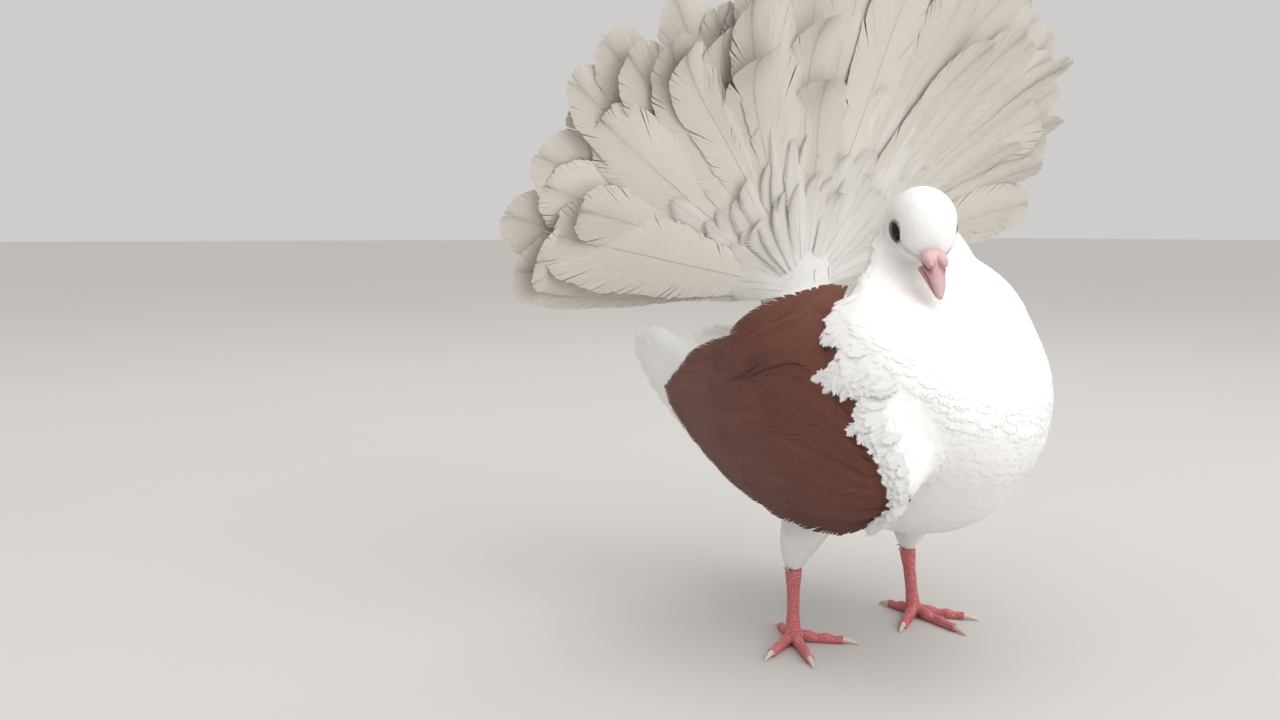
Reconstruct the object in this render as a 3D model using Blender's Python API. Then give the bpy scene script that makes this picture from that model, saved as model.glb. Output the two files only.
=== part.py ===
"""Fantail pigeon, a still life-size model standing on its own feet.

The bird is described by three numbers in millimetres: side (its left is positive), ahead (towards the
bill) and up. It faces -Y. Every feathered part is cut from one fairing, so that the parts meet face to
face with a thin gap.
"""

import math
import random

import bmesh
import bpy
import numpy as np
from mathutils import Matrix, Vector

MM = 0.001
GAP = 0.3                       # clear space between neighbouring parts
STANCE = (-2.2, 54.6)           # moves the bird over the middle of its own footprint: side, ahead

# Trunk and neck: back line (ahead, up), belly line (ahead, up), half width, sideways lean, turn to the right
TRUNK_SIDES = 20
TRUNK_STEPS = 22
TRUNK = [
    (-56, 140, -81, 119, 20, 0, 0),
    (-50, 141, -73, 99, 27, 0, 0),
    (-40, 142, -56, 77, 36, 0, 0),
    (-28, 143.4, -30, 58, 44, 0, 0),
    (-18, 144.4, 4, 48, 49.5, -0.5, 0),
    (-12, 145, 38, 54, 49.5, -1.5, 0),
    (-9.4, 145.5, 63, 78, 46.5, -3.5, 0),
    (-7.8, 146, 70, 100, 43.8, -4.2, 0),
    (-6.8, 146.5, 65, 115, 43, -3, 0),
    (-6, 147, 56, 125, 42.2, -0.2, 0),
]
NECK_STEPS = 9
NECK = [
    (-5.7, 151.5, 47, 132.5, 39, 3.5, 0),
    (-5.6, 156.5, 38, 138.5, 35, 5.3, 4),
    (-5.4, 161.5, 30, 142.5, 30.2, 6, 9),
    (-5.2, 166, 22, 147, 23.2, 5.2, 16),
]

# Head, in its own frame: top (ahead, up), bottom (ahead, up), half width
HEAD_AT = (-1.8, 15.5, 170)
HEAD_PITCH = math.radians(33)
HEAD_YAW = math.radians(28)     # turned to the bird's right
HEAD_SIDES = 20
HEAD_STEPS = 13
HEAD = [
    (-18, -6, 4, -13.5, 16),
    (-17.4, 4, 5.6, -12.8, 15),
    (-11, 12, 7, -12.2, 14.3),
    (-3, 14.4, 8.6, -11.6, 13.6),
    (5, 13.2, 10.6, -11, 12.2),
    (11, 9.2, 13, -10.3, 9.8),
    (14.8, 4.4, 15.2, -9.8, 7.2),
    (16.4, 0.6, 16.8, -9.4, 5),
]
EYE_AT = (4, 2)
EYE_SIDE = 9.4
EYE_RADIUS = 4
EYE_SEGMENTS = 14
EYE_RINGS = 10
LID_RADIUS = 4.3
LID_THICK = 0.95
LID_OUT = 2.6                   # the lids lie this far outside the middle of the eye
GAPE_SIZE = (3.5, 2, 0.6)       # crease behind the bill: along, outwards, upwards
GAPE_AT = (15.55, -5.6, 6.6)    # ahead, up, side

# Bill, in the head's frame from where it starts: top (ahead, up), bottom (ahead, up), half width
BILL_START = 17.1
BILL_SIDES = 12
UPPER_STEPS = 8
BILL_UPPER = [
    (0, 0.4, 0.2, -5.2, 4.6),
    (3.5, -0.6, 3.6, -5.8, 4.0),
    (8.5, -2.6, 8.6, -6.5, 2.9),
    (13, -4.6, 13, -7.4, 2.1),
    (16.4, -7.4, 16.2, -8.9, 0.9),
]
LOWER_STEPS = 6
BILL_LOWER = [
    (0.2, -5.5, 0.4, -9.3, 4.3),
    (6, -6.5, 6, -9.4, 2.9),
    (11, -7.35, 11, -9.5, 1.9),
    (14.4, -8.6, 14.4, -9.7, 0.8),
]
CERE_SIZE = (3.9, 1.7, 1.9)
CERE_AT = (4.4, -1.5, 2.1)
NOSTRIL_SIZE = (3.2, 2.2, 0.7)
NOSTRIL_AT = (6.4, -3.3, 4.0)

# Fairing that the folded wings lie in: ahead, side, middle height, half height above the middle
FAIRING = [
    (60, 47, 90, 46),
    (40, 54.5, 92, 52),
    (20, 57, 94, 56),
    (0, 57.5, 95, 57),
    (-30, 56, 98, 54),
    (-60, 52, 100, 49),
    (-90, 46, 101, 44),
    (-120, 39, 102, 39),
    (-160, 31, 110, 33),
    (-200, 21, 118, 26),
]
FAIRING_POWER = 2.3
FAIRING_SAG = 12                # the half height below the middle is larger by this
# Folded wing in side view: upper and lower outline (ahead, up), front and rear end (across, ahead)
WING_TOP = [
    (54, 97), (38, 119), (20, 134), (2, 142), (-25, 134), (-52, 124), (-84, 115), (-123, 103), (-150, 98),
]
WING_BOTTOM = [(54, 68), (46, 63), (30, 57), (-40, 54), (-78, 60), (-105, 68), (-123, 75), (-150, 84)]
WING_FRONT = [(0, 34), (0.15, 50), (0.35, 54), (0.55, 50), (0.75, 36), (1, 6)]
WING_REAR = [(0, -58), (0.25, -98), (0.5, -122), (0.75, -117), (1, -88)]
WING_LOW = 55
WING_HEIGHT = 85
WING_DEPTH = 13.4
WING_THINNER = 4.4              # less depth along the lower edge
WING_TUCK = {-1: 0, 1: 21}      # the front of the left wing lies back under the breast plumage
WING_LEAN = {-1: 0, 1: 6}       # the left wing leans in by this at its upper edge
ARM_ACROSS = [0, 0.1, 0.2, 0.35, 0.5, 0.65, 0.8, 0.9, 1]
ARM_ALONG = [0, 0.05, 0.12, 0.22, 0.33, 0.44, 0.55]
ARM_TOP = 0.6                   # depth of the arm's outer face at its middle
ARM_ROUND = 2.5                 # how much deeper its edges lie
ARM_LEAST = 1.8                 # least thickness of the arm
CORE_SLOPE = 21.5               # the arm sinks under the fairing by this per unit along

# Vanes
VANE_THICK = 0.5
ROOT_SINK = 1.6                 # extra depth of a root in the arm, over the first share of the vane
ROOT_SHARE = 0.2
SHINGLE = 0.92                  # each vane lies this far over its neighbour
VANE_OUTLINE = [(0, 0.28), (0.35, 0.72), (0.72, 1), (0.92, 0.72), (1, 0.22)]

# Wing tiers: count, along of root and tip, half width across, depth under the fairing
COVERTS_MEDIAN = (8, 0.05, 0.37, 0.1, 1.1)
COVERTS_GREATER = (9, 0.14, 0.62, 0.11, 3.6)
SECONDARIES = (9, 0.28, 1, 0.135, 6.7)
TIER_LOW = 0.07                 # across of the lowest and highest vane
TIER_HIGH = 0.94
TIP_SPREAD = 0.03

# Primaries fan out from a point ahead of them: ahead, up, then angles and radii
PRIMARIES = 7
PRIMARY_CENTRE = (40, 84)
PRIMARY_LOW = math.radians(5.4)
PRIMARY_STEP = math.radians(1.05)
PRIMARY_START = 78
PRIMARY_REACH = 222
PRIMARY_SHORTER = 10
PRIMARY_HALF = 5.9
PRIMARY_DEPTH = 10.9

# Tail fan
FAN_ROOT = (0, -66, 143)
FAN_RADIUS = 160
FAN_LONGER = 9                  # extra reach towards the bird's left
FAN_LEAN = math.radians(22)
FAN_YAW = math.radians(-10)
FAN_RIGHT = math.radians(-86)
FAN_LEFT = math.radians(74)
FAN_START = 5
FAN_DISH = 3
TAIL_PAD_START = 4              # the pad that carries the fan leaves the rump square to it
TAIL_PAD = [(4, 24, 10), (11, 22, 9), (19, 14, 6)]      # radius, half width, half thickness
TAIL_OUTLINE = [(0, 0.17), (0.3, 0.55), (0.6, 0.93), (0.82, 1), (0.94, 0.7), (1, 0.26)]
TAIL_HALF = 13.6
TAIL_TIERS = {"rear": (17, -1.4), "front": (16, 1.4)}
TAIL_COVERTS = {"under": (9, -4.1, 58, 9.5), "upper": (9, 4.1, 64, 9.5)}
COVERT_OUTLINE = [(0, 0.3), (0.45, 0.85), (0.8, 1), (1, 0.34)]

# Legs: thigh rows are side, ahead, up, half width, half depth
ANKLE = (31, -24, 28)
THIGH_SIDES = 14
THIGH = [
    (25, -15, 66, 10, 16),
    (27.5, -18, 52, 10, 15),
    (30, -21.5, 40, 8.6, 10.5),
    (ANKLE[0], ANKLE[1] + 0.6, 32, 5.4, 6.2),
    (*ANKLE, 4.3, 4.8),
]
FOOT_ROOT = (33, -21)
TARSUS_SIDES = 10
TARSUS = [(0, 3.7), (0.14, 3.5), (0.3, 2.9), (0.65, 2.8), (0.85, 3.4), (0.95, 3.0)]     # share, radius
TOE_ROWS = 8
TOE_RADIUS = 2.4
TOE_TAPER = 0.42
TOE_JOINT = 0.1                 # how much the joints swell
TOE_LIFT = 1.4                  # the toes spring from above the floor
TOES = {"inner": 20, "middle": 25, "outer": 21, "hind": 13}
TOE_TURNS = {
    "right": {"inner": -50, "middle": 22, "outer": 60, "hind": 195},
    "left": {"inner": -55, "middle": 0, "outer": 42, "hind": 188},
}
CLAW_LENGTH = 6.5
CLAW_SHARES = (0, 0.3, 0.6, 0.85, 1)
CLAW_RADIUS = 1.25
CLAW_TIP = 0.22
CLAW_ARCH = 1.3
CLAW_START = 1.7556             # height of the claw's middle at its root and at its tip
CLAW_END = 0.42

WHITE = (0.86, 0.85, 0.82)
CREAM = (0.78, 0.74, 0.68)
BROWN = (0.16, 0.055, 0.036)
RED = (0.50, 0.10, 0.12)
HORN = (0.62, 0.48, 0.42)
FLESH = (0.72, 0.45, 0.40)
DARK = (0.02, 0.012, 0.01)


def place(side, ahead, up):
    """Point of the bird in metres."""
    return Vector((side + STANCE[0], -ahead - STANCE[1], up)) * MM


def collection(name):
    group = bpy.data.collections.new(name)
    bpy.context.scene.collection.children.link(group)
    return group


def material(name, colour, roughness):
    result = bpy.data.materials.new(name)
    result.use_nodes = True
    shader = result.node_tree.nodes["Principled BSDF"]
    shader.inputs["Base Color"].default_value = (*colour, 1)
    shader.inputs["Roughness"].default_value = roughness
    shader.inputs["Metallic"].default_value = 0
    return result


def mesh_object(name, points, faces, group):
    """Object from points in the bird's millimetres."""
    mesh = bpy.data.meshes.new(name)
    mesh.from_pydata([place(*point) for point in points], [], faces)
    mesh.update()
    form = bmesh.new()
    form.from_mesh(mesh)
    bmesh.ops.recalc_face_normals(form, faces=form.faces)
    form.to_mesh(mesh)
    form.free()
    result = bpy.data.objects.new(name, mesh)
    group.objects.link(result)
    return result


def smooth_rows(rows, steps):
    """Rows read from a smooth curve through the given ones."""
    table = np.array(rows, dtype=float)
    last = len(table) - 1
    result = []
    for step in range(steps + 1):
        at = step / steps * last
        low = min(int(at), last - 1)
        t = at - low
        before = table[max(low - 1, 0)]
        here = table[low]
        after = table[low + 1]
        beyond = table[min(low + 2, last)]
        slope = (after - before) / (2 if low > 0 else 1)
        slope_next = (beyond - here) / (2 if low + 2 <= last else 1)
        result.append(
            here * (2 * t**3 - 3 * t**2 + 1) + slope * (t**3 - 2 * t**2 + t)
            + after * (3 * t**2 - 2 * t**3) + slope_next * (t**3 - t**2)
        )
    return result


def curve_at(table, x):
    """Remaining values of a table whose first column is x, read from a smooth curve through its rows."""
    rows = np.array(sorted(table), dtype=float)
    knots = rows[:, 0]
    values = rows[:, 1:]
    x = min(max(x, knots[0]), knots[-1])
    low = min(int(np.searchsorted(knots, x, side="right")) - 1, len(knots) - 2)
    wide = knots[low + 1] - knots[low]
    t = (x - knots[low]) / wide
    before = max(low - 1, 0)
    beyond = min(low + 2, len(knots) - 1)
    slope = (values[low + 1] - values[before]) / (knots[low + 1] - knots[before]) * wide
    slope_next = (values[beyond] - values[low]) / (knots[beyond] - knots[low]) * wide
    return (
        values[low] * (2 * t**3 - 3 * t**2 + 1) + slope * (t**3 - 2 * t**2 + t)
        + values[low + 1] * (3 * t**2 - 2 * t**3) + slope_next * (t**3 - t**2)
    )


def loft(name, rings, group):
    """Closed form through rings of equal count, flat at both ends."""
    count = len(rings[0])
    points = [point for ring in rings for point in ring]
    faces = []
    for row in range(len(rings) - 1):
        for i in range(count):
            j = (i + 1) % count
            low = row * count
            high = low + count
            faces.append((low + i, low + j, high + j, high + i))
    faces.append(tuple(range(count)))
    faces.append(tuple(range(len(points) - count, len(points))))
    return mesh_object(name, points, faces, group)


def section(row, sides, grow=0.0):
    """Ring of the trunk or neck."""
    half = np.array((0, row[0] - row[2], row[1] - row[3])) / 2
    middle = np.array((row[5], (row[0] + row[2]) / 2, (row[1] + row[3]) / 2))
    half = half * (1 + grow / np.linalg.norm(half))
    turn_right = math.radians(row[6])
    half[0] = -half[1] * math.sin(turn_right)
    half[1] = half[1] * math.cos(turn_right)
    wide = np.array((math.cos(turn_right), math.sin(turn_right), 0)) * (row[4] + grow)
    turns = [2 * math.pi * i / sides for i in range(sides)]
    return [middle + half * math.cos(turn) + wide * math.sin(turn) for turn in turns]


def head_point(ahead, up, side):
    """Point of the head's own frame, in the bird's."""
    level = ahead * math.cos(HEAD_PITCH) + up * math.sin(HEAD_PITCH)
    rise = up * math.cos(HEAD_PITCH) - ahead * math.sin(HEAD_PITCH)
    return np.array((
        HEAD_AT[0] - level * math.sin(HEAD_YAW) + side * math.cos(HEAD_YAW),
        HEAD_AT[1] + level * math.cos(HEAD_YAW) + side * math.sin(HEAD_YAW),
        HEAD_AT[2] + rise,
    ))


def head_section(row, sides, shift=0.0):
    """Ring of the head or the bill."""
    top = np.array(row[:2], dtype=float)
    bottom = np.array(row[2:4], dtype=float)
    middle = (top + bottom) / 2
    half = (top - bottom) / 2
    across = np.array((half[1], -half[0])) / np.linalg.norm(half)
    middle = middle + across * shift
    ring = []
    for i in range(sides):
        turn = 2 * math.pi * i / sides
        spot = middle + half * math.cos(turn)
        ring.append(head_point(spot[0], spot[1], row[4] * math.sin(turn)))
    return ring


def evaluated(target):
    """Replaces an object's mesh by the one its modifiers make."""
    bpy.context.view_layer.update()
    graph = bpy.context.evaluated_depsgraph_get()
    mesh = bpy.data.meshes.new_from_object(target.evaluated_get(graph))
    target.modifiers.clear()
    target.data = mesh


def keep_largest(target):
    """Leaves the closed surface with the most volume."""
    form = bmesh.new()
    form.from_mesh(target.data)
    form.verts.ensure_lookup_table()
    seen = set()
    shells = []
    for start in form.verts:
        if start in seen:
            continue
        shell = [start]
        seen.add(start)
        for vertex in shell:
            for edge in vertex.link_edges:
                other = edge.other_vert(vertex)
                if other not in seen:
                    seen.add(other)
                    shell.append(other)
        shells.append(shell)
    if len(shells) > 1:
        def volume(shell):
            faces = {face for vertex in shell for face in vertex.link_faces}
            return abs(sum(face.calc_center_median().dot(face.normal) * face.calc_area() for face in faces))
        shells.sort(key=volume, reverse=True)
        bmesh.ops.delete(form, geom=[v for shell in shells[1:] for v in shell], context="VERTS")
    form.to_mesh(target.data)
    form.free()


def combine(target, pieces, operation):
    """One Boolean with a collection of closed pieces, applied."""
    group = bpy.data.collections.new("pieces")
    bpy.context.scene.collection.children.link(group)
    for piece in pieces:
        for owner in list(piece.users_collection):
            owner.objects.unlink(piece)
        group.objects.link(piece)
    boolean = target.modifiers.new("combine", "BOOLEAN")
    boolean.operand_type = "COLLECTION"
    boolean.collection = group
    boolean.operation = operation
    boolean.solver = "EXACT"
    evaluated(target)
    for piece in pieces:
        bpy.data.objects.remove(piece)
    bpy.data.collections.remove(group)
    keep_largest(target)


def finish_part(target, look, angle=math.radians(40)):
    target.data.materials.clear()
    target.data.materials.append(look)
    target.data.shade_smooth()
    target.data.set_sharp_from_angle(angle=angle)


def trunk_rings(grow=0.0):
    return [section(row, TRUNK_SIDES, grow) for row in smooth_rows(TRUNK, TRUNK_STEPS)]


def swollen_trunk(group, name="trunk_cutter"):
    """Trunk grown by the gap, to cut what lies against it."""
    return loft(name, trunk_rings(GAP), group)


def make_torso(group, look):
    torso = loft("torso", trunk_rings(), group)
    finish_part(torso, look)
    return torso


def make_neck(group, look):
    head_ring = head_section(HEAD[0], TRUNK_SIDES, -GAP)
    rows = smooth_rows([TRUNK[-1]] + NECK, NECK_STEPS)
    rings = [section(row, TRUNK_SIDES) for row in rows]
    normal = np.cross(rings[0][5] - rings[0][0], rings[0][10] - rings[0][0])
    normal = normal / np.linalg.norm(normal)
    if normal[2] < 0:
        normal = -normal
    rings[0] = [point + normal * GAP for point in rings[0]]
    rings.append(head_ring)
    neck = loft("neck", rings, group)
    finish_part(neck, look)
    return neck


def ball(name, radius, group, segments=14, rings=9):
    mesh = bpy.data.meshes.new(name)
    form = bmesh.new()
    bmesh.ops.create_uvsphere(form, u_segments=segments, v_segments=rings, radius=radius * MM)
    form.to_mesh(mesh)
    form.free()
    result = bpy.data.objects.new(name, mesh)
    group.objects.link(result)
    return result


def ring_tube(name, radius, thick, group, around=14, across=5):
    """Closed ring in its own XY plane."""
    points = []
    faces = []
    for i in range(around):
        turn = 2 * math.pi * i / around
        for j in range(across):
            roll = 2 * math.pi * j / across
            reach = radius + thick * math.cos(roll)
            points.append(Vector((reach * math.cos(turn), reach * math.sin(turn), thick * math.sin(roll))) * MM)
            a = i * across + j
            b = i * across + (j + 1) % across
            c = (i + 1) % around * across + (j + 1) % across
            d = (i + 1) % around * across + j
            faces.append((a, d, c, b))
    mesh = bpy.data.meshes.new(name)
    mesh.from_pydata(points, [], faces)
    form = bmesh.new()
    form.from_mesh(mesh)
    bmesh.ops.recalc_face_normals(form, faces=form.faces)
    form.to_mesh(mesh)
    form.free()
    result = bpy.data.objects.new(name, mesh)
    group.objects.link(result)
    return result


def settle(target, matrix):
    """Bakes a placement into the mesh."""
    target.data.transform(matrix)
    target.data.update()


def head_matrix(ahead, up, side, roll=0.0):
    """Placement whose Z axis points out of the head's side."""
    centre = place(*head_point(ahead, up, side))
    reach = math.copysign(1, side)
    out = place(*head_point(ahead, up, side + reach)) - centre
    top = place(*head_point(ahead, up + 1, side)) - centre
    out.normalize()
    top.normalize()
    along = top.cross(out)
    turn = Matrix((along, top, out)).transposed().to_4x4()
    return Matrix.Translation(centre) @ turn @ Matrix.Rotation(roll, 4, "Y")


def make_head(group, look):
    rows = smooth_rows(HEAD, HEAD_STEPS)
    head = loft("head", [head_section(row, HEAD_SIDES) for row in rows], group)
    lids = []
    sockets = []
    for hand in (-1, 1):
        lid = ring_tube("lid", LID_RADIUS, LID_THICK, group)
        settle(lid, head_matrix(*EYE_AT, hand * (EYE_SIDE + LID_OUT)))
        lids.append(lid)
        socket = ball("socket", EYE_RADIUS + GAP, group, EYE_SEGMENTS, EYE_RINGS)
        settle(socket, head_matrix(*EYE_AT, hand * EYE_SIDE))
        sockets.append(socket)
        gape = box("gape", GAPE_SIZE, group)
        settle(gape, head_matrix(GAPE_AT[0], GAPE_AT[1], hand * GAPE_AT[2]))
        sockets.append(gape)
    combine(head, lids, "UNION")
    combine(head, sockets, "DIFFERENCE")
    finish_part(head, look)
    return head


def box(name, size, group):
    """Box: along the head, outwards, upwards."""
    mesh = bpy.data.meshes.new(name)
    form = bmesh.new()
    bmesh.ops.create_cube(form, size=1)
    bmesh.ops.scale(form, verts=form.verts, vec=Vector((size[0], size[2], size[1])) * MM)
    form.to_mesh(mesh)
    form.free()
    result = bpy.data.objects.new(name, mesh)
    group.objects.link(result)
    return result


def make_eye(name, hand, group, look):
    eye = ball(name, EYE_RADIUS, group, EYE_SEGMENTS, EYE_RINGS)
    settle(eye, head_matrix(*EYE_AT, hand * EYE_SIDE))
    finish_part(eye, look)
    return eye


def bill_half(name, rows, steps, group):
    rows = [(BILL_START + row[0], row[1], BILL_START + row[2], row[3], row[4]) for row in rows]
    return loft(name, [head_section(row, BILL_SIDES) for row in smooth_rows(rows, steps)], group)


def make_bill(group, look):
    """Upper and lower halves, parted along the gape."""
    upper = bill_half("bill_upper", BILL_UPPER, UPPER_STEPS, group)
    lower = bill_half("bill_lower", BILL_LOWER, LOWER_STEPS, group)
    lobes = []
    slits = []
    for hand in (-1, 1):
        lobe = ball("cere", 1, group, 10, 7)
        settle(lobe, Matrix.Diagonal((*CERE_SIZE, 1)))
        settle(lobe, head_matrix(BILL_START + CERE_AT[0], CERE_AT[1], hand * CERE_AT[2]))
        lobes.append(lobe)
        slit = box("nostril", NOSTRIL_SIZE, group)
        settle(slit, head_matrix(BILL_START + NOSTRIL_AT[0], NOSTRIL_AT[1], hand * NOSTRIL_AT[2]))
        slits.append(slit)
    combine(upper, lobes, "UNION")
    combine(upper, slits, "DIFFERENCE")
    finish_part(upper, look)
    finish_part(lower, look)


def fairing_side(ahead, up):
    """Half width of the fairing at a point of the side view."""
    side, middle, high = curve_at(FAIRING, ahead)
    reach = high if up > middle else high + FAIRING_SAG
    q = min(abs(up - middle) / reach, 0.97)
    return side * (1 - q**FAIRING_POWER) ** (1 / FAIRING_POWER)


def fairing_point(ahead, up, depth, hand):
    """Point of a folded wing, at a depth under the fairing."""
    step = 0.5
    side = fairing_side(ahead, up)
    by_ahead = (fairing_side(ahead + step, up) - fairing_side(ahead - step, up)) / (2 * step)
    by_up = (fairing_side(ahead, up + step) - fairing_side(ahead, up - step)) / (2 * step)
    normal = np.array((1, -by_ahead, -by_up))
    normal = normal / np.linalg.norm(normal)
    spot = np.array((side, ahead, up)) - normal * depth
    high = min(max((spot[2] - WING_LOW) / WING_HEIGHT, 0), 1)
    return np.array(((spot[0] - WING_LEAN[hand] * high) * hand, spot[1], spot[2]))


def wing_ahead(along, across, hand):
    """How far ahead a place on the wing lies: along runs from its front end to its rear end."""
    front = curve_at(WING_FRONT, across)[0] - WING_TUCK[hand]
    return front + (curve_at(WING_REAR, across)[0] - front) * along


def wing_up(ahead, across):
    """Height of a place on the wing: across runs from its lower to its upper outline."""
    low = curve_at(WING_BOTTOM, ahead)[0]
    return low + (curve_at(WING_TOP, ahead)[0] - low) * across


def slab(name, outer, inner, group):
    """Closed sheet between two grids of points, split alike on both faces."""
    rows = len(outer)
    columns = len(outer[0])
    points = [point for row in outer for point in row] + [point for row in inner for point in row]
    back = rows * columns
    faces = []
    for i in range(rows - 1):
        for j in range(columns - 1):
            a = i * columns + j
            b = a + 1
            c = a + columns
            d = c + 1
            faces += [(a, c, d), (a, d, b), (back + a, back + d, back + c), (back + a, back + b, back + d)]
    rim = [i * columns for i in range(rows)]
    rim += [(rows - 1) * columns + j for j in range(1, columns)]
    rim += [i * columns + columns - 1 for i in range(rows - 2, -1, -1)]
    rim += [j for j in range(columns - 2, 0, -1)]
    for i, here in enumerate(rim):
        there = rim[(i + 1) % len(rim)]
        faces += [(here, back + here, back + there), (here, back + there, there)]
    return mesh_object(name, points, faces, group)


def wing_slab(name, hand, alongs, acrosses, top, bottom, group):
    """Thick patch of the folded wing between two depths."""
    outer = []
    inner = []
    for along in alongs:
        spots = []
        for across in acrosses:
            ahead = wing_ahead(along, across, hand)
            spots.append((ahead, wing_up(ahead, across)))
        outer.append([fairing_point(*spot, top(along, across), hand) for spot, across in zip(spots, acrosses)])
        inner.append([fairing_point(*spot, bottom(along, across), hand) for spot, across in zip(spots, acrosses)])
    return slab(name, outer, inner, group)


def arm_depth(along, across):
    """Depth of the arm's outer face, deeper towards its edges and the rear."""
    edge = max(abs(across - 0.5) * 2, 1 - along / 0.3, 0)
    deep = ARM_TOP + ARM_ROUND * edge**4 + CORE_SLOPE * max(along - 0.08, 0)
    return min(deep, arm_back(along, across) - ARM_LEAST)


def arm_back(along, across):
    return WING_DEPTH - WING_THINNER * max(0, 1 - across / 0.3)


def wing_vane(name, hand, tier, number, draw, group):
    """One vane of a tier, laid so that it can't cross its neighbours."""
    count, root, tip, half, depth = tier
    spacing = (TIER_HIGH - TIER_LOW) / (count - 1)
    nominal = TIER_LOW + spacing * number
    tip = tip + draw.uniform(-TIP_SPREAD, TIP_SPREAD) * (tip - root)
    half = half * draw.uniform(0.93, 1.07)
    outer = []
    inner = []
    for share, wide in VANE_OUTLINE:
        ahead = wing_ahead(root + (tip - root) * share, nominal, hand)
        sink = ROOT_SINK * max(0, 1 - share / ROOT_SHARE)
        spots = []
        for side in (-1, 0, 1):
            across = nominal + side * wide * half
            place_depth = depth + sink + SHINGLE * (across - nominal) / spacing
            spots.append((ahead, wing_up(ahead, across), place_depth))
        outer.append([fairing_point(ahead, up, deep - VANE_THICK / 2, hand) for ahead, up, deep in spots])
        inner.append([fairing_point(ahead, up, deep + VANE_THICK / 2, hand) for ahead, up, deep in spots])
    return slab(name, outer, inner, group)


def primary_vane(hand, number, draw, group):
    nominal = PRIMARY_LOW + PRIMARY_STEP * number
    reach = PRIMARY_REACH - PRIMARY_SHORTER * number + draw.uniform(-2, 2)
    outer = []
    inner = []
    for share, wide in VANE_OUTLINE:
        radius = PRIMARY_START + (reach - PRIMARY_START) * share
        spots = []
        for side in (-1, 0, 1):
            angle = nominal + side * wide * PRIMARY_HALF / radius
            ahead = PRIMARY_CENTRE[0] - radius * math.cos(angle)
            up = PRIMARY_CENTRE[1] + radius * math.sin(angle)
            spots.append((ahead, up, PRIMARY_DEPTH + SHINGLE * (angle - nominal) / PRIMARY_STEP))
        outer.append([fairing_point(ahead, up, deep - VANE_THICK / 2, hand) for ahead, up, deep in spots])
        inner.append([fairing_point(ahead, up, deep + VANE_THICK / 2, hand) for ahead, up, deep in spots])
    return slab("primary", outer, inner, group)


def make_wing(side_name, hand, group, look):
    draw = random.Random(11 + hand)
    wing = wing_slab("wing_" + side_name, hand, ARM_ALONG, ARM_ACROSS, arm_depth, arm_back, group)
    vanes = []
    for tier in (COVERTS_MEDIAN, COVERTS_GREATER, SECONDARIES):
        vanes += [wing_vane("vane", hand, tier, number, draw, group) for number in range(tier[0])]
    vanes += [primary_vane(hand, number, draw, group) for number in range(PRIMARIES)]
    combine(wing, vanes, "UNION")
    combine(wing, [swollen_trunk(group)], "DIFFERENCE")
    finish_part(wing, look)
    return wing


def fan_axes():
    across = np.array((math.cos(FAN_YAW), math.sin(FAN_YAW), 0))
    ahead = np.array((-math.sin(FAN_YAW), math.cos(FAN_YAW), 0))
    rise = np.array((0, 0, 1)) * math.cos(FAN_LEAN) + ahead * math.sin(FAN_LEAN)
    front = ahead * math.cos(FAN_LEAN) - np.array((0, 0, 1)) * math.sin(FAN_LEAN)
    return across, rise, front


def fan_point(turn, radius, proud):
    """Point of the fan: turn from its middle to the bird's left, proud towards the head."""
    across, rise, front = fan_axes()
    return np.array(FAN_ROOT) + (rise * math.cos(turn) + across * math.sin(turn)) * radius + front * proud


def rump_ring(shift):
    ring = section(TRUNK[0], TRUNK_SIDES)
    back = np.array((0, *TRUNK[0][0:2])) - np.array((0, *TRUNK[0][2:4]))
    back = back / np.linalg.norm(back)
    out = np.array((0, -back[2], back[1]))
    return [point + out * shift for point in ring]


def fan_ring(radius, wide, thick):
    across, rise, front = fan_axes()
    centre = np.array(FAN_ROOT) + rise * radius
    turns = [2 * math.pi * i / TRUNK_SIDES for i in range(TRUNK_SIDES)]
    return [centre + front * thick * math.cos(turn) + across * wide * math.sin(turn) for turn in turns]


def tail_vane(outline, nominal, spacing, reach, half, proud, draw, group):
    """One vane of the fan, laid so that it can't cross its neighbours."""
    turn = nominal + spacing * draw.uniform(-0.14, 0.14)
    reach = reach * draw.uniform(0.96, 1.03)
    half = half * draw.uniform(0.93, 1.05)
    bend = math.radians(draw.uniform(-2.5, 2.5))
    front = []
    back = []
    for share, wide in outline:
        radius = FAN_START + (reach - FAN_START) * share
        dish = FAN_DISH * (radius / FAN_RADIUS) ** 2
        edges = []
        for side in (-1, 1):
            angle = turn + bend * share**2 + side * math.asin(wide * half / radius if wide * half < radius else 1)
            edges.append((angle, proud + dish + SHINGLE * (angle - nominal) / spacing))
        front.append([fan_point(angle, radius, lift + VANE_THICK / 2) for angle, lift in edges])
        back.append([fan_point(angle, radius, lift - VANE_THICK / 2) for angle, lift in edges])
    return slab("vane", front, back, group)


def make_tail(group, look):
    draw = random.Random(5)
    rings = [rump_ring(GAP), rump_ring(TAIL_PAD_START)] + [fan_ring(*row) for row in TAIL_PAD]
    tail = loft("tail", rings, group)
    full = TAIL_TIERS["rear"][0] - 1
    spacing = (FAN_LEFT - FAN_RIGHT) / full
    vanes = []
    for count, proud in TAIL_TIERS.values():
        for number in range(count):
            nominal = FAN_RIGHT + spacing * (number + (full + 1 - count) / 2)
            reach = FAN_RADIUS + FAN_LONGER * max(0, nominal / FAN_LEFT)
            vanes.append(tail_vane(TAIL_OUTLINE, nominal, spacing, reach, TAIL_HALF, proud, draw, group))
    for count, proud, reach, half in TAIL_COVERTS.values():
        wider = (FAN_LEFT - FAN_RIGHT) / count
        for number in range(count):
            nominal = FAN_RIGHT + wider * (number + 0.5)
            vanes.append(tail_vane(COVERT_OUTLINE, nominal, wider, reach, half, proud, draw, group))
    combine(tail, vanes, "UNION")
    finish_part(tail, look)
    return tail


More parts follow.
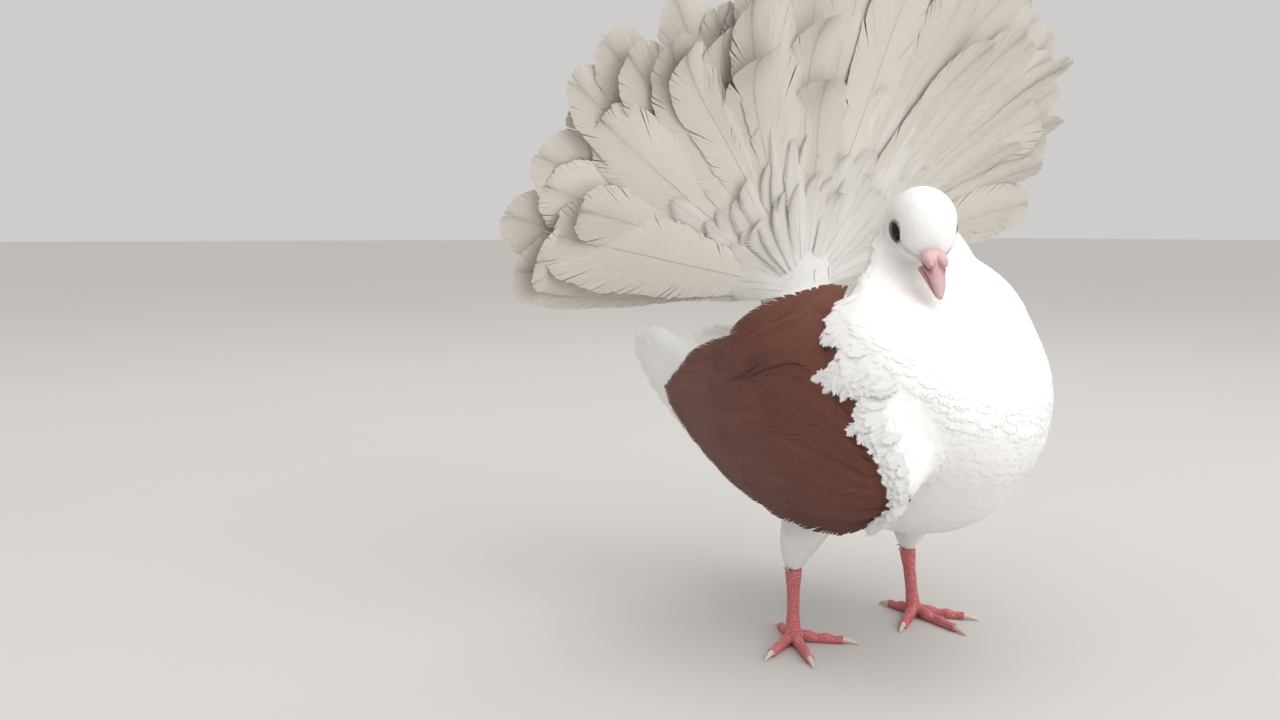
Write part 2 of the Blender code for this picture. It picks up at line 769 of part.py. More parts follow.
def make_thigh(name, hand, group, look):
    rings = []
    for side, ahead, up, wide, deep in THIGH:
        turns = [2 * math.pi * i / THIGH_SIDES for i in range(THIGH_SIDES)]
        rings.append([(hand * side + wide * math.cos(turn), ahead + deep * math.sin(turn), up) for turn in turns])
    thigh = loft(name, rings, group)
    combine(thigh, [swollen_trunk(group)], "DIFFERENCE")
    finish_part(thigh, look)
    return thigh


def toe_line(side_name, toe):
    hand = -1 if side_name == "right" else 1
    turn = math.radians(TOE_TURNS[side_name][toe])
    direction = np.array((hand * math.sin(turn), math.cos(turn), 0))
    return np.array((hand * FOOT_ROOT[0], FOOT_ROOT[1], 0)), direction


def floor_ring(centre, direction, radius, sides=8):
    """Ring across a toe, flat where it meets the floor."""
    across = np.array((-direction[1], direction[0], 0))
    ring = []
    for i in range(sides):
        turn = 2 * math.pi * (i + 0.5) / sides
        point = centre + across * radius * math.cos(turn) + np.array((0, 0, radius * math.sin(turn)))
        ring.append((point[0], point[1], max(point[2], 0)))
    return ring


def make_foot(side_name, group, looks):
    hand = -1 if side_name == "right" else 1
    root = np.array((hand * FOOT_ROOT[0], FOOT_ROOT[1], 0))
    ankle = np.array((hand * ANKLE[0], ANKLE[1], ANKLE[2] - GAP))
    rings = []
    for t, radius in TARSUS:
        centre = ankle + (root - ankle) * t
        turns = [2 * math.pi * i / TARSUS_SIDES for i in range(TARSUS_SIDES)]
        rings.append([(centre[0] + radius * math.cos(a), centre[1] + radius * math.sin(a), centre[2]) for a in turns])
    foot = loft("foot_" + side_name, rings, group)
    pieces = []
    for toe, length in TOES.items():
        start, direction = toe_line(side_name, toe)
        joints = 2 if toe == "hind" else 3
        rings = []
        for step in range(TOE_ROWS):
            t = step / (TOE_ROWS - 1)
            radius = TOE_RADIUS * (1.12 - TOE_TAPER * t) * (1 + TOE_JOINT * math.cos(2 * math.pi * joints * t))
            lift = radius * 0.86 + TOE_LIFT * max(0, 1 - t / 0.35)
            centre = start + direction * length * t + np.array((0, 0, lift))
            rings.append(floor_ring(centre, direction, radius))
        pieces.append(loft(toe, rings, group))
        rings = []
        for t in CLAW_SHARES:
            radius = CLAW_RADIUS * (1 - t) ** 0.8 + CLAW_TIP
            up = CLAW_START + CLAW_ARCH * t * (1 - t) - (CLAW_START - CLAW_END) * t
            centre = start + direction * (length + GAP + CLAW_LENGTH * t) + np.array((0, 0, max(up, radius)))
            rings.append(floor_ring(centre, direction, radius, 6))
        claw = loft("claw_" + side_name + "_" + toe, rings, group)
        finish_part(claw, looks["horn"])
    combine(foot, pieces, "UNION")
    finish_part(foot, looks["red"])
    return foot


def build():
    for old in list(bpy.data.objects):
        bpy.data.objects.remove(old)
    group = collection("fantail_pigeon")
    looks = {
        "white": material("white_feather", WHITE, 0.75),
        "cream": material("tail_feather", CREAM, 0.7),
        "brown": material("wing_feather", BROWN, 0.7),
        "red": material("foot_skin", RED, 0.5),
        "horn": material("claw_horn", HORN, 0.4),
        "flesh": material("bill_horn", FLESH, 0.45),
        "dark": material("eye", DARK, 0.1),
    }
    make_torso(group, looks["white"])
    make_neck(group, looks["white"])
    make_head(group, looks["white"])
    make_bill(group, looks["flesh"])
    make_tail(group, looks["cream"])
    for hand, side_name in ((-1, "right"), (1, "left")):
        make_eye("eye_" + side_name, hand, group, looks["dark"])
        make_wing(side_name, hand, group, looks["brown"])
        make_thigh("thigh_" + side_name, hand, group, looks["white"])
        make_foot(side_name, group, looks)


build()
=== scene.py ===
"""Still, life-size fantail pigeon: skin, plumage, bill, eyes and feet over its frame.

The bird is described in millimetres by side (its left is positive), ahead (towards the bill) and up.
Every feather is a mesh of barbs laid along the plumage.
"""

import math

import bmesh
import bpy
import numpy as np
from mathutils import Matrix, Vector
from mathutils.bvhtree import BVHTree
from mathutils.kdtree import KDTree

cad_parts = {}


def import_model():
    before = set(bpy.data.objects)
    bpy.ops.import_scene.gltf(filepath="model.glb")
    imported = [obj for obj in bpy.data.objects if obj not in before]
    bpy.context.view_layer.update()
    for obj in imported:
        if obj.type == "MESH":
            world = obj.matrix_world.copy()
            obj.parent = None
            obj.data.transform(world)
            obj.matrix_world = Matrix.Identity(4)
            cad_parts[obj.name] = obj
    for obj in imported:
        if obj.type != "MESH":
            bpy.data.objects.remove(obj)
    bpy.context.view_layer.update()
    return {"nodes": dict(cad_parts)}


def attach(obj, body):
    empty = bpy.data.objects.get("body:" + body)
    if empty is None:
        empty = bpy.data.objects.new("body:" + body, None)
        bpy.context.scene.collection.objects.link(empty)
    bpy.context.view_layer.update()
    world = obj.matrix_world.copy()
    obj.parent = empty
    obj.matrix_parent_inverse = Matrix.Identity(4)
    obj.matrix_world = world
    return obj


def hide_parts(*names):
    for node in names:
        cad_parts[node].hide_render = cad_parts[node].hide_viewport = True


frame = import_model()

MM = 0.001
STANCE = np.array((-2.2, 54.6))
random = np.random.default_rng(7)

# Trunk and neck: back line (ahead, up), belly line (ahead, up), half width, sideways lean, turn to the right
TRUNK = [
    (-56, 140, -81, 119, 20, 0, 0),
    (-50, 141, -73, 99, 27, 0, 0),
    (-40, 142, -56, 77, 36, 0, 0),
    (-28, 143.4, -30, 58, 44, 0, 0),
    (-18, 144.4, 4, 48, 49.5, -0.5, 0),
    (-12, 145, 38, 54, 49.5, -1.5, 0),
    (-9.4, 145.5, 63, 78, 46.5, -3.5, 0),
    (-7.8, 146, 70, 100, 43.8, -4.2, 0),
    (-6.8, 146.5, 65, 115, 43, -3, 0),
    (-6, 147, 56, 125, 42.2, -0.2, 0),
]
NECK = [
    (-5.7, 151.5, 47, 132.5, 40, 4, 0),
    (-5.6, 156.5, 38, 138.5, 37, 6.2, 4),
    (-5.4, 161.5, 30, 142.5, 32, 6.6, 9),
    (-5.2, 166, 22, 147, 24.4, 5.4, 16),
]
BODY_SIDES = 72
BODY_STEPS = 110

# Head, in its own frame: top (ahead, up), bottom (ahead, up), half width
HEAD_AT = np.array((-1.8, 15.5, 170))
HEAD_PITCH = math.radians(33)
HEAD_YAW = math.radians(28)
HEAD = [
    (-18, -6, 4, -13.5, 16),
    (-17.4, 4, 5.6, -12.8, 15),
    (-11, 12, 7, -12.2, 14.3),
    (-3, 14.4, 8.6, -11.6, 13.6),
    (5, 13.2, 10.6, -11, 12.2),
    (11, 9.2, 13, -10.3, 9.8),
    (14.8, 4.4, 15.2, -9.8, 7.2),
    (16.4, 0.6, 16.8, -9.4, 5),
]
HEAD_SIDES = 64
HEAD_STEPS = 60
HEAD_DOWN = 0.8

# Eye (ahead, up of the head), its ball's radius, flatness and depth, and how far round it no feather grows
EYE_AT = (3.4, -1.1)
EYE_RADIUS = 5
EYE_FLAT = 0.58
EYE_SUNK = 1.7
EYE_CLEAR = 4.5
LID_ACROSS = 5.3
# Crease from the eye to the gape, and the swellings over and under it: distance from its line, spread
CREASE = ((8.4, -2.2), (16.4, -5))
CREASE_DEPTH = 0.75
# Shading painted into the colour along the crease, stronger on the right side than on the left
CREASE_PAINTED_SHADE = {-1: 0.3, 1: 0.15}
BROW_OFF = (2.7, 1.9)
CHEEK_OFF = (-3.9, 2.8)
# Rim of the eye's seat: distance from its middle, spread; its hollow: radius, slope, depth
SOCKET = (5.2, 1.2)
HOLLOW = (5.0, 0.9, 2.4)
# Bill, in the head's frame, and how much fuller than the frame's it is
BILL_START = 17.1
BILL_LENGTH = 19
BILL_ROOT = np.array((16.6, -3.6, 0))
BILL_SCALE = np.array((1.15, 1.12, 1.13))
# Nostril, where shading is painted dark: up and its spread, ahead of the bill's start and its spread; powder on the
# cere: ahead and its spread
SLIT = (-3.15, 0.7, 6.6, 3.2)
POWDER = (3.2, 3.4)

# Folded wing: its outer form by ahead, with half width, middle and reach; its outline seen from the side
FAIRING = [
    (60, 47, 90, 46),
    (40, 54.5, 92, 52),
    (20, 57, 94, 56),
    (0, 57.5, 95, 57),
    (-30, 56, 98, 54),
    (-60, 52, 100, 49),
    (-90, 46, 101, 44),
    (-120, 39, 102, 39),
    (-160, 31, 110, 33),
    (-200, 21, 118, 26),
]
FAIRING_POWER = 2.3
FAIRING_SAG = 12
WING_TOP = [(54, 97), (38, 119), (20, 134), (2, 142), (-25, 134), (-52, 124), (-84, 115), (-123, 103), (-150, 98)]
WING_BOTTOM = [(54, 68), (46, 63), (30, 57), (-40, 54), (-78, 60), (-105, 68), (-123, 75), (-150, 84)]
WING_FRONT = [(0, 34), (0.15, 50), (0.35, 54), (0.55, 50), (0.75, 36), (1, 6)]
WING_REAR = [(0, -58), (0.25, -98), (0.5, -122), (0.75, -117), (1, -88)]
# How far each wing lies back, leans in, is buried in front and is drawn in below, and from where
WING_TUCK = {-1: 0, 1: 21}
WING_LEAN = {-1: 0, 1: 6}
WING_BURIED = {-1: 0, 1: 4.5}
WING_DRAWN = {-1: 0, 1: 9}
WING_LOW = 55
WING_HEIGHT = 85
DRAWN_BELOW = (84, 26)
SET_IN_FROM = (-22, 34)
# Depth of the arm's inner side under the form, and how far back along the wing it ends
ARM_DEPTH = 18
ARM_END = 0.62

# Drape of white plumage from the breast over the wing's front: up, and how far ahead it ends
DRAPE = [
    (58, 36), (62, 45), (70, 54), (79, 55), (87, 52), (98, 44), (106, 39), (113, 30), (119, 24), (127, 21), (134, 13),
    (143, 9),
]
# From where it leaves the breast, its depth under the wing's form, its lower end; how far vanes sink under it
DRAPE_LENGTH = 27
DRAPE_RISE = 9
DRAPE_START = 48
DRAPE_ROWS = 32
DRAPE_DEPTH = {-1: 1.5, 1: 3}
DRAPE_LOW = {-1: 63, 1: 72}
DRAPE_SUNK = 0.7
VANE_SINK = 3.4

# Tail fan: its root, radius and lean back, its turn, its right and left rims, how far it is dished
FAN_ROOT = np.array((0, -66, 143))
FAN_RADIUS = 160
FAN_LEAN = math.radians(22)
FAN_YAW = math.radians(-10)
FAN_RIGHT = math.radians(-86)
FAN_LEFT = math.radians(74)
FAN_DISH = 3

# Legs
ANKLE = (31, -24, 28)
FOOT_ROOT = (33, -21)
TOE_RADIUS = 2.4
TOES = {"inner": 20, "middle": 25, "outer": 21, "hind": 13}
TOE_TURNS = {
    -1: {"inner": -50, "middle": 22, "outer": 60, "hind": 195},
    1: {"inner": -55, "middle": 0, "outer": 42, "hind": 188},
}
CLAW_LENGTH = 6.5
# Radius of the shank by share of the way down
SHANK = ((0, 0.12, 0.3, 0.65, 0.88, 1), (3.6, 3.4, 2.75, 2.65, 3.3, 2.6))

# Camera: place in the bird's millimetres, level way in the scene, angle down
CAMERA_AT = (-313.2, 346.43, 167.7)
CAMERA_WAY = (0.4925, 0.8703)
CAMERA_DOWN = math.radians(6.407)
CAMERA_LENS = 32.34

# Skin
COAT_DEPTH = 2.2
SKIN_VOXEL = 1.3
SKIN_ROUNDS = 14

# Directions of the scene run the other way along ahead
TURNED = (1, -1, 1)


def world(points):
    """Bird's millimetres to metres of the scene."""
    points = np.asarray(points, dtype=float)
    return np.stack(
        (points[..., 0] + STANCE[0], -points[..., 1] - STANCE[1], points[..., 2]), axis=-1
    ) * MM


def bird(points):
    """Metres of the scene to the bird's millimetres."""
    points = np.asarray(points, dtype=float) / MM
    return np.stack(
        (points[..., 0] - STANCE[0], -points[..., 1] - STANCE[1], points[..., 2]), axis=-1
    )


def curve(table, x):
    """Smooth curve through a table whose first column is x, read at any number of places."""
    rows = np.array(sorted(table), dtype=float)
    knots = rows[:, 0]
    values = rows[:, 1:]
    x = np.clip(np.asarray(x, dtype=float), knots[0], knots[-1])
    low = np.clip(np.searchsorted(knots, x, side="right") - 1, 0, len(knots) - 2)
    before = np.maximum(low - 1, 0)
    beyond = np.minimum(low + 2, len(knots) - 1)
    wide = (knots[low + 1] - knots[low])[..., None]
    t = (x - knots[low])[..., None] / wide
    slope = (values[low + 1] - values[before]) / (knots[low + 1] - knots[before])[..., None] * wide
    slope_next = (values[beyond] - values[low]) / (knots[beyond] - knots[low])[..., None] * wide
    return (
        values[low] * (2 * t**3 - 3 * t**2 + 1) + slope * (t**3 - 2 * t**2 + t)
        + values[low + 1] * (3 * t**2 - 2 * t**3) + slope_next * (t**3 - t**2)
    )


def circle(count):
    """Angles evenly round a turn."""
    return np.linspace(0, 2 * math.pi, count, endpoint=False)


def smooth_rows(rows, steps):
    """Rows read from a smooth curve through evenly spaced ones."""
    count = len(rows) - 1
    table = [(i, *row) for i, row in enumerate(rows)]
    return curve(table, np.linspace(0, count, steps + 1))


def section(row, sides, shrink):
    """Ring of the trunk or neck, drawn in by the coat's depth."""
    half = np.array((0, row[0] - row[2], row[1] - row[3])) / 2
    middle = np.array((row[5], (row[0] + row[2]) / 2, (row[1] + row[3]) / 2))
    half = half * (1 - shrink / np.linalg.norm(half))
    turn_right = math.radians(row[6])
    half[0] = -half[1] * math.sin(turn_right)
    half[1] = half[1] * math.cos(turn_right)
    wide = np.array((math.cos(turn_right), math.sin(turn_right), 0)) * (row[4] - shrink)
    turns = circle(sides)[:, None]
    return middle + half * np.cos(turns) + wide * np.sin(turns)


def head_points(points):
    """Points of the head's own frame (ahead, up, side), in the bird's."""
    points = np.asarray(points, dtype=float)
    ahead = points[..., 0]
    up = points[..., 1]
    side = points[..., 2]
    level = ahead * math.cos(HEAD_PITCH) + up * math.sin(HEAD_PITCH)
    rise = up * math.cos(HEAD_PITCH) - ahead * math.sin(HEAD_PITCH)
    return HEAD_AT + np.stack((
        side * math.cos(HEAD_YAW) - level * math.sin(HEAD_YAW),
        level * math.cos(HEAD_YAW) + side * math.sin(HEAD_YAW),
        rise,
    ), axis=-1)


def into_head(points):
    """Points of the bird in the head's own frame."""
    offset = np.asarray(points, dtype=float) - HEAD_AT
    side = offset[..., 0] * math.cos(HEAD_YAW) + offset[..., 1] * math.sin(HEAD_YAW)
    level = offset[..., 1] * math.cos(HEAD_YAW) - offset[..., 0] * math.sin(HEAD_YAW)
    rise = offset[..., 2]
    ahead = level * math.cos(HEAD_PITCH) - rise * math.sin(HEAD_PITCH)
    up = level * math.sin(HEAD_PITCH) + rise * math.cos(HEAD_PITCH)
    return np.stack((ahead, up, side), axis=-1)


def head_section(row, sides, shrink):
    top = np.array(row[:2], dtype=float)
    bottom = np.array(row[2:4], dtype=float)
    middle = (top + bottom) / 2
    half = (top - bottom) / 2
    half = half * (1 - shrink / np.linalg.norm(half))
    turns = circle(sides)[:, None]
    flat = middle + half * np.cos(turns)
    side = (row[4] - shrink) * np.sin(turns)
    return head_points(np.concatenate((flat, side), axis=1))


def fairing_side(ahead, up):
    side, middle, high = np.moveaxis(curve(FAIRING, ahead), -1, 0)
    reach = np.where(up > middle, high, high + FAIRING_SAG)
    q = np.minimum(np.abs(up - middle) / reach, 0.97)
    return side * (1 - q**FAIRING_POWER) ** (1 / FAIRING_POWER)


def fairing_slopes(ahead, up, step):
    """How the wing's form widens with ahead and with up."""
    by_ahead = (fairing_side(ahead + step, up) - fairing_side(ahead - step, up)) / (2 * step)
    by_up = (fairing_side(ahead, up + step) - fairing_side(ahead, up - step)) / (2 * step)
    return by_ahead, by_up


def fairing_points(ahead, up, depth, hand):
    """Points of a folded wing, at a depth under its outer form."""
    side = fairing_side(ahead, up)
    by_ahead, by_up = fairing_slopes(ahead, up, 0.5)
    normal = np.stack((np.ones_like(side), -by_ahead, -by_up), axis=-1)
    normal = normal / np.linalg.norm(normal, axis=-1, keepdims=True)
    spot = np.stack((side, ahead, up), axis=-1) - normal * np.asarray(depth)[..., None]
    spot[..., 0] = (spot[..., 0] - wing_set(spot[..., 1], spot[..., 2], hand)) * hand
    return spot


def wing_set(ahead, up, hand):
    """How far a wing is set in, by its lean and where its front is buried in the breast's plumage."""
    high = np.clip((up - WING_LOW) / WING_HEIGHT, 0, 1)
    buried = WING_BURIED[hand] + WING_DRAWN[hand] * np.clip((DRAWN_BELOW[0] - up) / DRAWN_BELOW[1], 0, 1)
    return WING_LEAN[hand] * high + buried * np.clip((ahead - SET_IN_FROM[0]) / SET_IN_FROM[1], 0, 1)


def wing_ahead(along, across, hand):
    front = curve(WING_FRONT, across)[..., 0] - WING_TUCK[hand]
    return front + (curve(WING_REAR, across)[..., 0] - front) * along


def tuck_at(spots):
    return np.where(spots[..., 0] < 0, WING_TUCK[-1], WING_TUCK[1])


def wing_along(spots):
    """Share of the way back along its wing of a point beside it."""
    low, high = curve(WING_BOTTOM, spots[..., 1])[..., 0], curve(WING_TOP, spots[..., 1])[..., 0]
    across = np.clip((spots[..., 2] - low) / (high - low), 0, 1)
    front = curve(WING_FRONT, across)[..., 0] - tuck_at(spots)
    return (spots[..., 1] - front) / (curve(WING_REAR, across)[..., 0] - front)


def wing_up(ahead, across):
    low = curve(WING_BOTTOM, ahead)[..., 0]
    return low + (curve(WING_TOP, ahead)[..., 0] - low) * across


def wing_points(along, across, depth, hand):
    ahead = wing_ahead(along, np.clip(across, 0, 1), hand)
    return fairing_points(ahead, wing_up(ahead, across), depth, hand)


def drape_end(up, hand):
    return curve(DRAPE, up)[..., 0] - WING_TUCK[hand]


def linked(name, data):
    """New object in the scene."""
    result = bpy.data.objects.new(name, data)
    bpy.context.scene.collection.objects.link(result)
    return result


def linked_mesh(name, mesh):
    """New smooth object of a mesh."""
    mesh.polygons.foreach_set("use_smooth", np.ones(len(mesh.polygons), dtype=bool))
    return linked(name, mesh)


def set_layer(mesh, name, values):
    """A value for every vertex, for the materials."""
    attribute = mesh.attributes.new(name, "FLOAT", "POINT")
    attribute.data.foreach_set("value", np.asarray(values, dtype=np.float32).ravel())


def mesh_from(name, points, faces, layers=None, uvs=None):
    """Object from points in the bird's millimetres and faces of one count, quickly."""
    points = world(points).reshape(-1, 3).astype(np.float32)
    faces = np.asarray(faces, dtype=np.int32)
    corners = faces.shape[1]
    mesh = bpy.data.meshes.new(name)
    mesh.vertices.add(len(points))
    mesh.vertices.foreach_set("co", points.ravel())
    mesh.loops.add(faces.size)
    mesh.loops.foreach_set("vertex_index", faces.ravel())
    mesh.polygons.add(len(faces))
    mesh.polygons.foreach_set("loop_start", np.arange(0, faces.size, corners, dtype=np.int32))
    for layer, values in (layers or {}).items():
        set_layer(mesh, layer, values)
    for layer, values in (uvs or {}).items():
        uv = mesh.uv_layers.new(name=layer)
        uv.data.foreach_set("uv", values.reshape(-1, 2)[faces.ravel()].astype(np.float32).ravel())
    mesh.update(calc_edges=True)
    mesh.validate()
    return linked_mesh(name, mesh)


def tube_faces(rows, sides):
    """Quads of a tube through rings."""
    row, i = np.meshgrid(np.arange(rows - 1), np.arange(sides), indexing="ij")
    j = (i + 1) % sides
    low = row * sides
    high = low + sides
    return np.stack((low + i, low + j, high + j, high + i), axis=-1).reshape(-1, 4)


def tube(name, rings):
    """Closed form through rings, its ends drawn to a point."""
    rings = np.asarray(rings)
    ends = [np.repeat(ring.mean(axis=1, keepdims=True), rings.shape[1], axis=1) for ring in (rings[:1], rings[-1:])]
    rings = np.concatenate((ends[0], rings, ends[1]))
    result = mesh_from(name, rings, tube_faces(len(rings), rings.shape[1]))
    weld(result, 1e-7)
    return result


def weld(target, distance):
    form = bmesh.new()
    form.from_mesh(target.data)
    bmesh.ops.remove_doubles(form, verts=form.verts, dist=distance)
    bmesh.ops.recalc_face_normals(form, faces=form.faces)
    form.to_mesh(target.data)
    form.free()


def join(name, parts):
    """One object from several."""
    bpy.ops.object.select_all(action="DESELECT")
    for part in parts:
        part.select_set(True)
    bpy.context.view_layer.objects.active = parts[0]
    bpy.ops.object.join()
    result = bpy.context.view_layer.objects.active
    result.name = name
    result.data.name = name
    return result


def remesh(target, voxel):
    """Fuses the overlapping parts of a mesh into one even surface."""
    modifier = target.modifiers.new("remesh", "REMESH")
    modifier.mode = "VOXEL"
    modifier.voxel_size = voxel * MM
    modifier.use_smooth_shade = True
    bpy.context.view_layer.objects.active = target
    bpy.ops.object.modifier_apply(modifier=modifier.name)


def read(items, key, size, kind=np.float32):
    """Array of one property of a mesh's items."""
    values = np.empty(len(items) * size, dtype=kind)
    items.foreach_get(key, values)
    return values.reshape(-1, size)


def coordinates(target):
    return read(target.data.vertices, "co", 3).astype(float)


def vertex_ways(target):
    """The ways that the vertices face, in the scene."""
    return read(target.data.vertex_normals, "vector", 3).astype(float)


def set_coordinates(target, points):
    target.data.vertices.foreach_set("co", points.astype(np.float32).ravel())
    target.data.update()


def tree_of(target):
    return BVHTree.FromPolygons(
        [Vector(point) for point in coordinates(target)], [tuple(face.vertices) for face in target.data.polygons]
    )


def tree_at(points):
    tree = KDTree(len(points))
    for i, point in enumerate(points):
        tree.insert(point, i)
    tree.balance()
    return tree


def edges_of(target):
    return read(target.data.edges, "vertices", 2, np.int32)


def averaged(values, edges, rounds):
    """Values of the vertices, each moved to its neighbours' mean."""
    degree = np.maximum(np.bincount(edges.ravel(), minlength=len(values)), 1)[:, None]
    for _ in range(rounds):
        total = np.zeros_like(values)
        np.add.at(total, edges[:, 0], values[edges[:, 1]])
        np.add.at(total, edges[:, 1], values[edges[:, 0]])
        values = total / degree
    return values


def unit(vectors):
    return vectors / np.maximum(np.linalg.norm(vectors, axis=-1, keepdims=True), 1e-9)


def laid_flat(lies, normals):
    """Directions laid into the surface that faces along the normals."""
    return unit(lies - normals * (lies * normals).sum(axis=1, keepdims=True))


# Guides: points of the smooth forms with the lie of the plumage, a place on an unwrap and a feather length

BODY_LENGTHS = [(0, 15), (2, 13), (4, 11.5), (6, 10.5), (8, 9.8), (9.5, 8.4), (11, 6.6), (13, 5)]
HEAD_LENGTHS = [(0, 5.2), (0.3, 3.8), (0.6, 3.1), (0.85, 2.4), (1, 1.9)]
WING_LENGTHS = [(0, 6), (0.2, 8.5), (0.6, 12)]
THIGH_LENGTHS = [(0, 10), (0.5, 7.5), (1, 4.2)]
# Thigh: side, ahead, up, half width, half depth; tail pad: radius, half width, half thickness
THIGH = [
    (25, -15, 66, 10, 16),
    (27.5, -18, 52, 10, 15),
    (30, -21.5, 40, 8.6, 10.5),
    (31, -23.4, 32, 5.4, 6.2),
    (31, -24, 28.2, 4.3, 4.8),
]
THIGH_SIDES = 28
PAD = [(6, 21, 8), (14, 20, 6.5), (24, 17, 4), (34, 14, 2)]
PAD_SIDES = 40
NAPE_SIDES = 48
ARM_DEPTHS = [(0, 2.4), (0.12, 2.6), (0.22, 3.6), (0.36, 5.6), (0.5, 7), (0.62, 9.4)]
ARM_SIDES = 44
DRAPE_POINTS = 14
BODY, FACE, WING, LEG, HIDDEN = range(5)


def body_rings():
    rows = smooth_rows(TRUNK + NECK, BODY_STEPS)
    return np.array([section(row, BODY_SIDES, COAT_DEPTH) for row in rows])


def head_rings():
    rows = smooth_rows(HEAD, HEAD_STEPS)
    return np.array([head_section(row, HEAD_SIDES, HEAD_DOWN) for row in rows])


def nape_rings():
    """Rings that carry the neck's rim over into the back of the head."""
    low = [section(row, NAPE_SIDES, COAT_DEPTH + 0.4) for row in NECK[-2:]]
    high = [head_section(row, NAPE_SIDES, 1.0) for row in smooth_rows(HEAD, 20)[(1, 4), :]]
    between = []
    for t in (0.2, 0.4, 0.6, 0.8):
        ring = low[-1] + (high[0] - low[-1]) * t
        middle = ring.mean(axis=0)
        between.append(middle + (ring - middle) * (1 + 0.15 * math.sin(math.pi * t)))
    return np.array(low + between + high)


def thigh_rings(hand):
    turns = circle(THIGH_SIDES)
    return np.array([
        np.stack((
            hand * side + (wide - 0.9) * np.cos(turns), ahead + (deep - 0.9) * np.sin(turns), np.full(THIGH_SIDES, up)
        ), axis=1)
        for side, ahead, up, wide, deep in smooth_rows(THIGH, 24)
    ])


def arm_rings(hand):
    """Closed rings round the wing's arm, one for each place along it."""
    around = circle(ARM_SIDES)
    rings = []
    for along in np.linspace(0.005, ARM_END, 26):
        front = min(1, (along / 0.1) ** 0.5)
        across = 0.5 - 0.47 * (0.8 + 0.2 * front) * np.cos(around)
        outer = curve(ARM_DEPTHS, along)[0]
        middle = (outer + ARM_DEPTH) / 2
        rounding = np.abs(np.sin(around)) ** 0.6 * np.sign(np.sin(around))
        thin = np.clip(across / 0.25, 0.35, 1)
        depth = middle - rounding * (ARM_DEPTH - outer) / 2 * front * np.where(rounding < 0, thin, 1)
        rings.append(wing_points(np.full(ARM_SIDES, along), across, depth, hand))
    return np.array(rings)


def drape_rings(hand, body_tree):
    """Closed rings of the plumage that runs from the breast over the wing's front, one for each height."""

    def on_body(spot):
        near, normal, _, _ = body_tree.find_nearest(Vector(world(spot)))
        return bird(near), np.array(normal) * TURNED

    rings = []
    for up in np.linspace(DRAPE_LOW[hand], DRAPE[-1][0], DRAPE_ROWS):
        depth = DRAPE_DEPTH[hand] + 2.5 * np.clip((76 - up) / 12, 0, 1)
        ahead = float(drape_end(up, hand))
        last = fairing_points(ahead, up, np.array(depth), hand)
        hidden = fairing_points(ahead - 9, up - 3, np.array(depth + 2.4), hand)
        first = on_body(np.array((hand * DRAPE_START, ahead + DRAPE_LENGTH, up + DRAPE_RISE)))[0]
        proud = last - on_body(last)[0]
        high = np.linalg.norm(proud) * np.sign(proud @ on_body(last)[1])
        high = high * min(1, ((up - DRAPE_LOW[hand] + 0.6) / 7) ** 0.5)
        outer, inner = [], []
        for t in np.linspace(0, 1, DRAPE_POINTS):
            spot, normal = on_body(first + (last - first) * t)
            rise = (high + DRAPE_SUNK) * t * t * (3 - 2 * t) - DRAPE_SUNK
            outer.append(spot + normal * rise)
            inner.append(spot - normal * 5)
        rings.append(np.array(outer + [hidden] + [hidden - (hand * 8, 0, 0)] + inner[::-1]))
    return np.array(rings)


def tail_pad_rings():
    across, rise, front = fan_axes()
    rings = [section(smooth_rows(TRUNK, 20)[0], PAD_SIDES, COAT_DEPTH)]
    turns = circle(PAD_SIDES)[:, None]
    for radius, wide, thick in PAD:
        rings.append(FAN_ROOT + rise * radius + front * thick * np.cos(turns) + across * wide * np.sin(turns))
    return np.array(rings)


def fan_axes():
    across = np.array((math.cos(FAN_YAW), math.sin(FAN_YAW), 0))
    ahead = np.array((-math.sin(FAN_YAW), math.cos(FAN_YAW), 0))
    rise = np.array((0, 0, 1)) * math.cos(FAN_LEAN) + ahead * math.sin(FAN_LEAN)
    front = ahead * math.cos(FAN_LEAN) - np.array((0, 0, 1)) * math.sin(FAN_LEAN)
    return across, rise, front


def add_guides(guides, rings, lengths, kind, sign):
    """Adds rings of points with a lie that runs along the rows, forwards or back."""
    rows, sides = rings.shape[:2]
    place = np.stack(np.meshgrid(
        np.linspace(0.02, 0.98, rows), np.linspace(0.01, 0.99, sides), indexing="ij"
    )[::-1], axis=-1)
    for name, values in (
        ("points", rings.reshape(-1, 3)),
        ("lies", unit((np.gradient(rings, axis=0) * sign).reshape(-1, 3))),
        ("places", place.reshape(-1, 2)),
        ("lengths", np.broadcast_to(np.asarray(lengths)[:, None], (rows, sides)).ravel()),
        ("kinds", np.full(rows * sides, kind)),
    ):
        guides.setdefault(name, []).append(values)


def bump_at(values, middle, width):
    return np.exp(-(((values - middle) / width) ** 2))


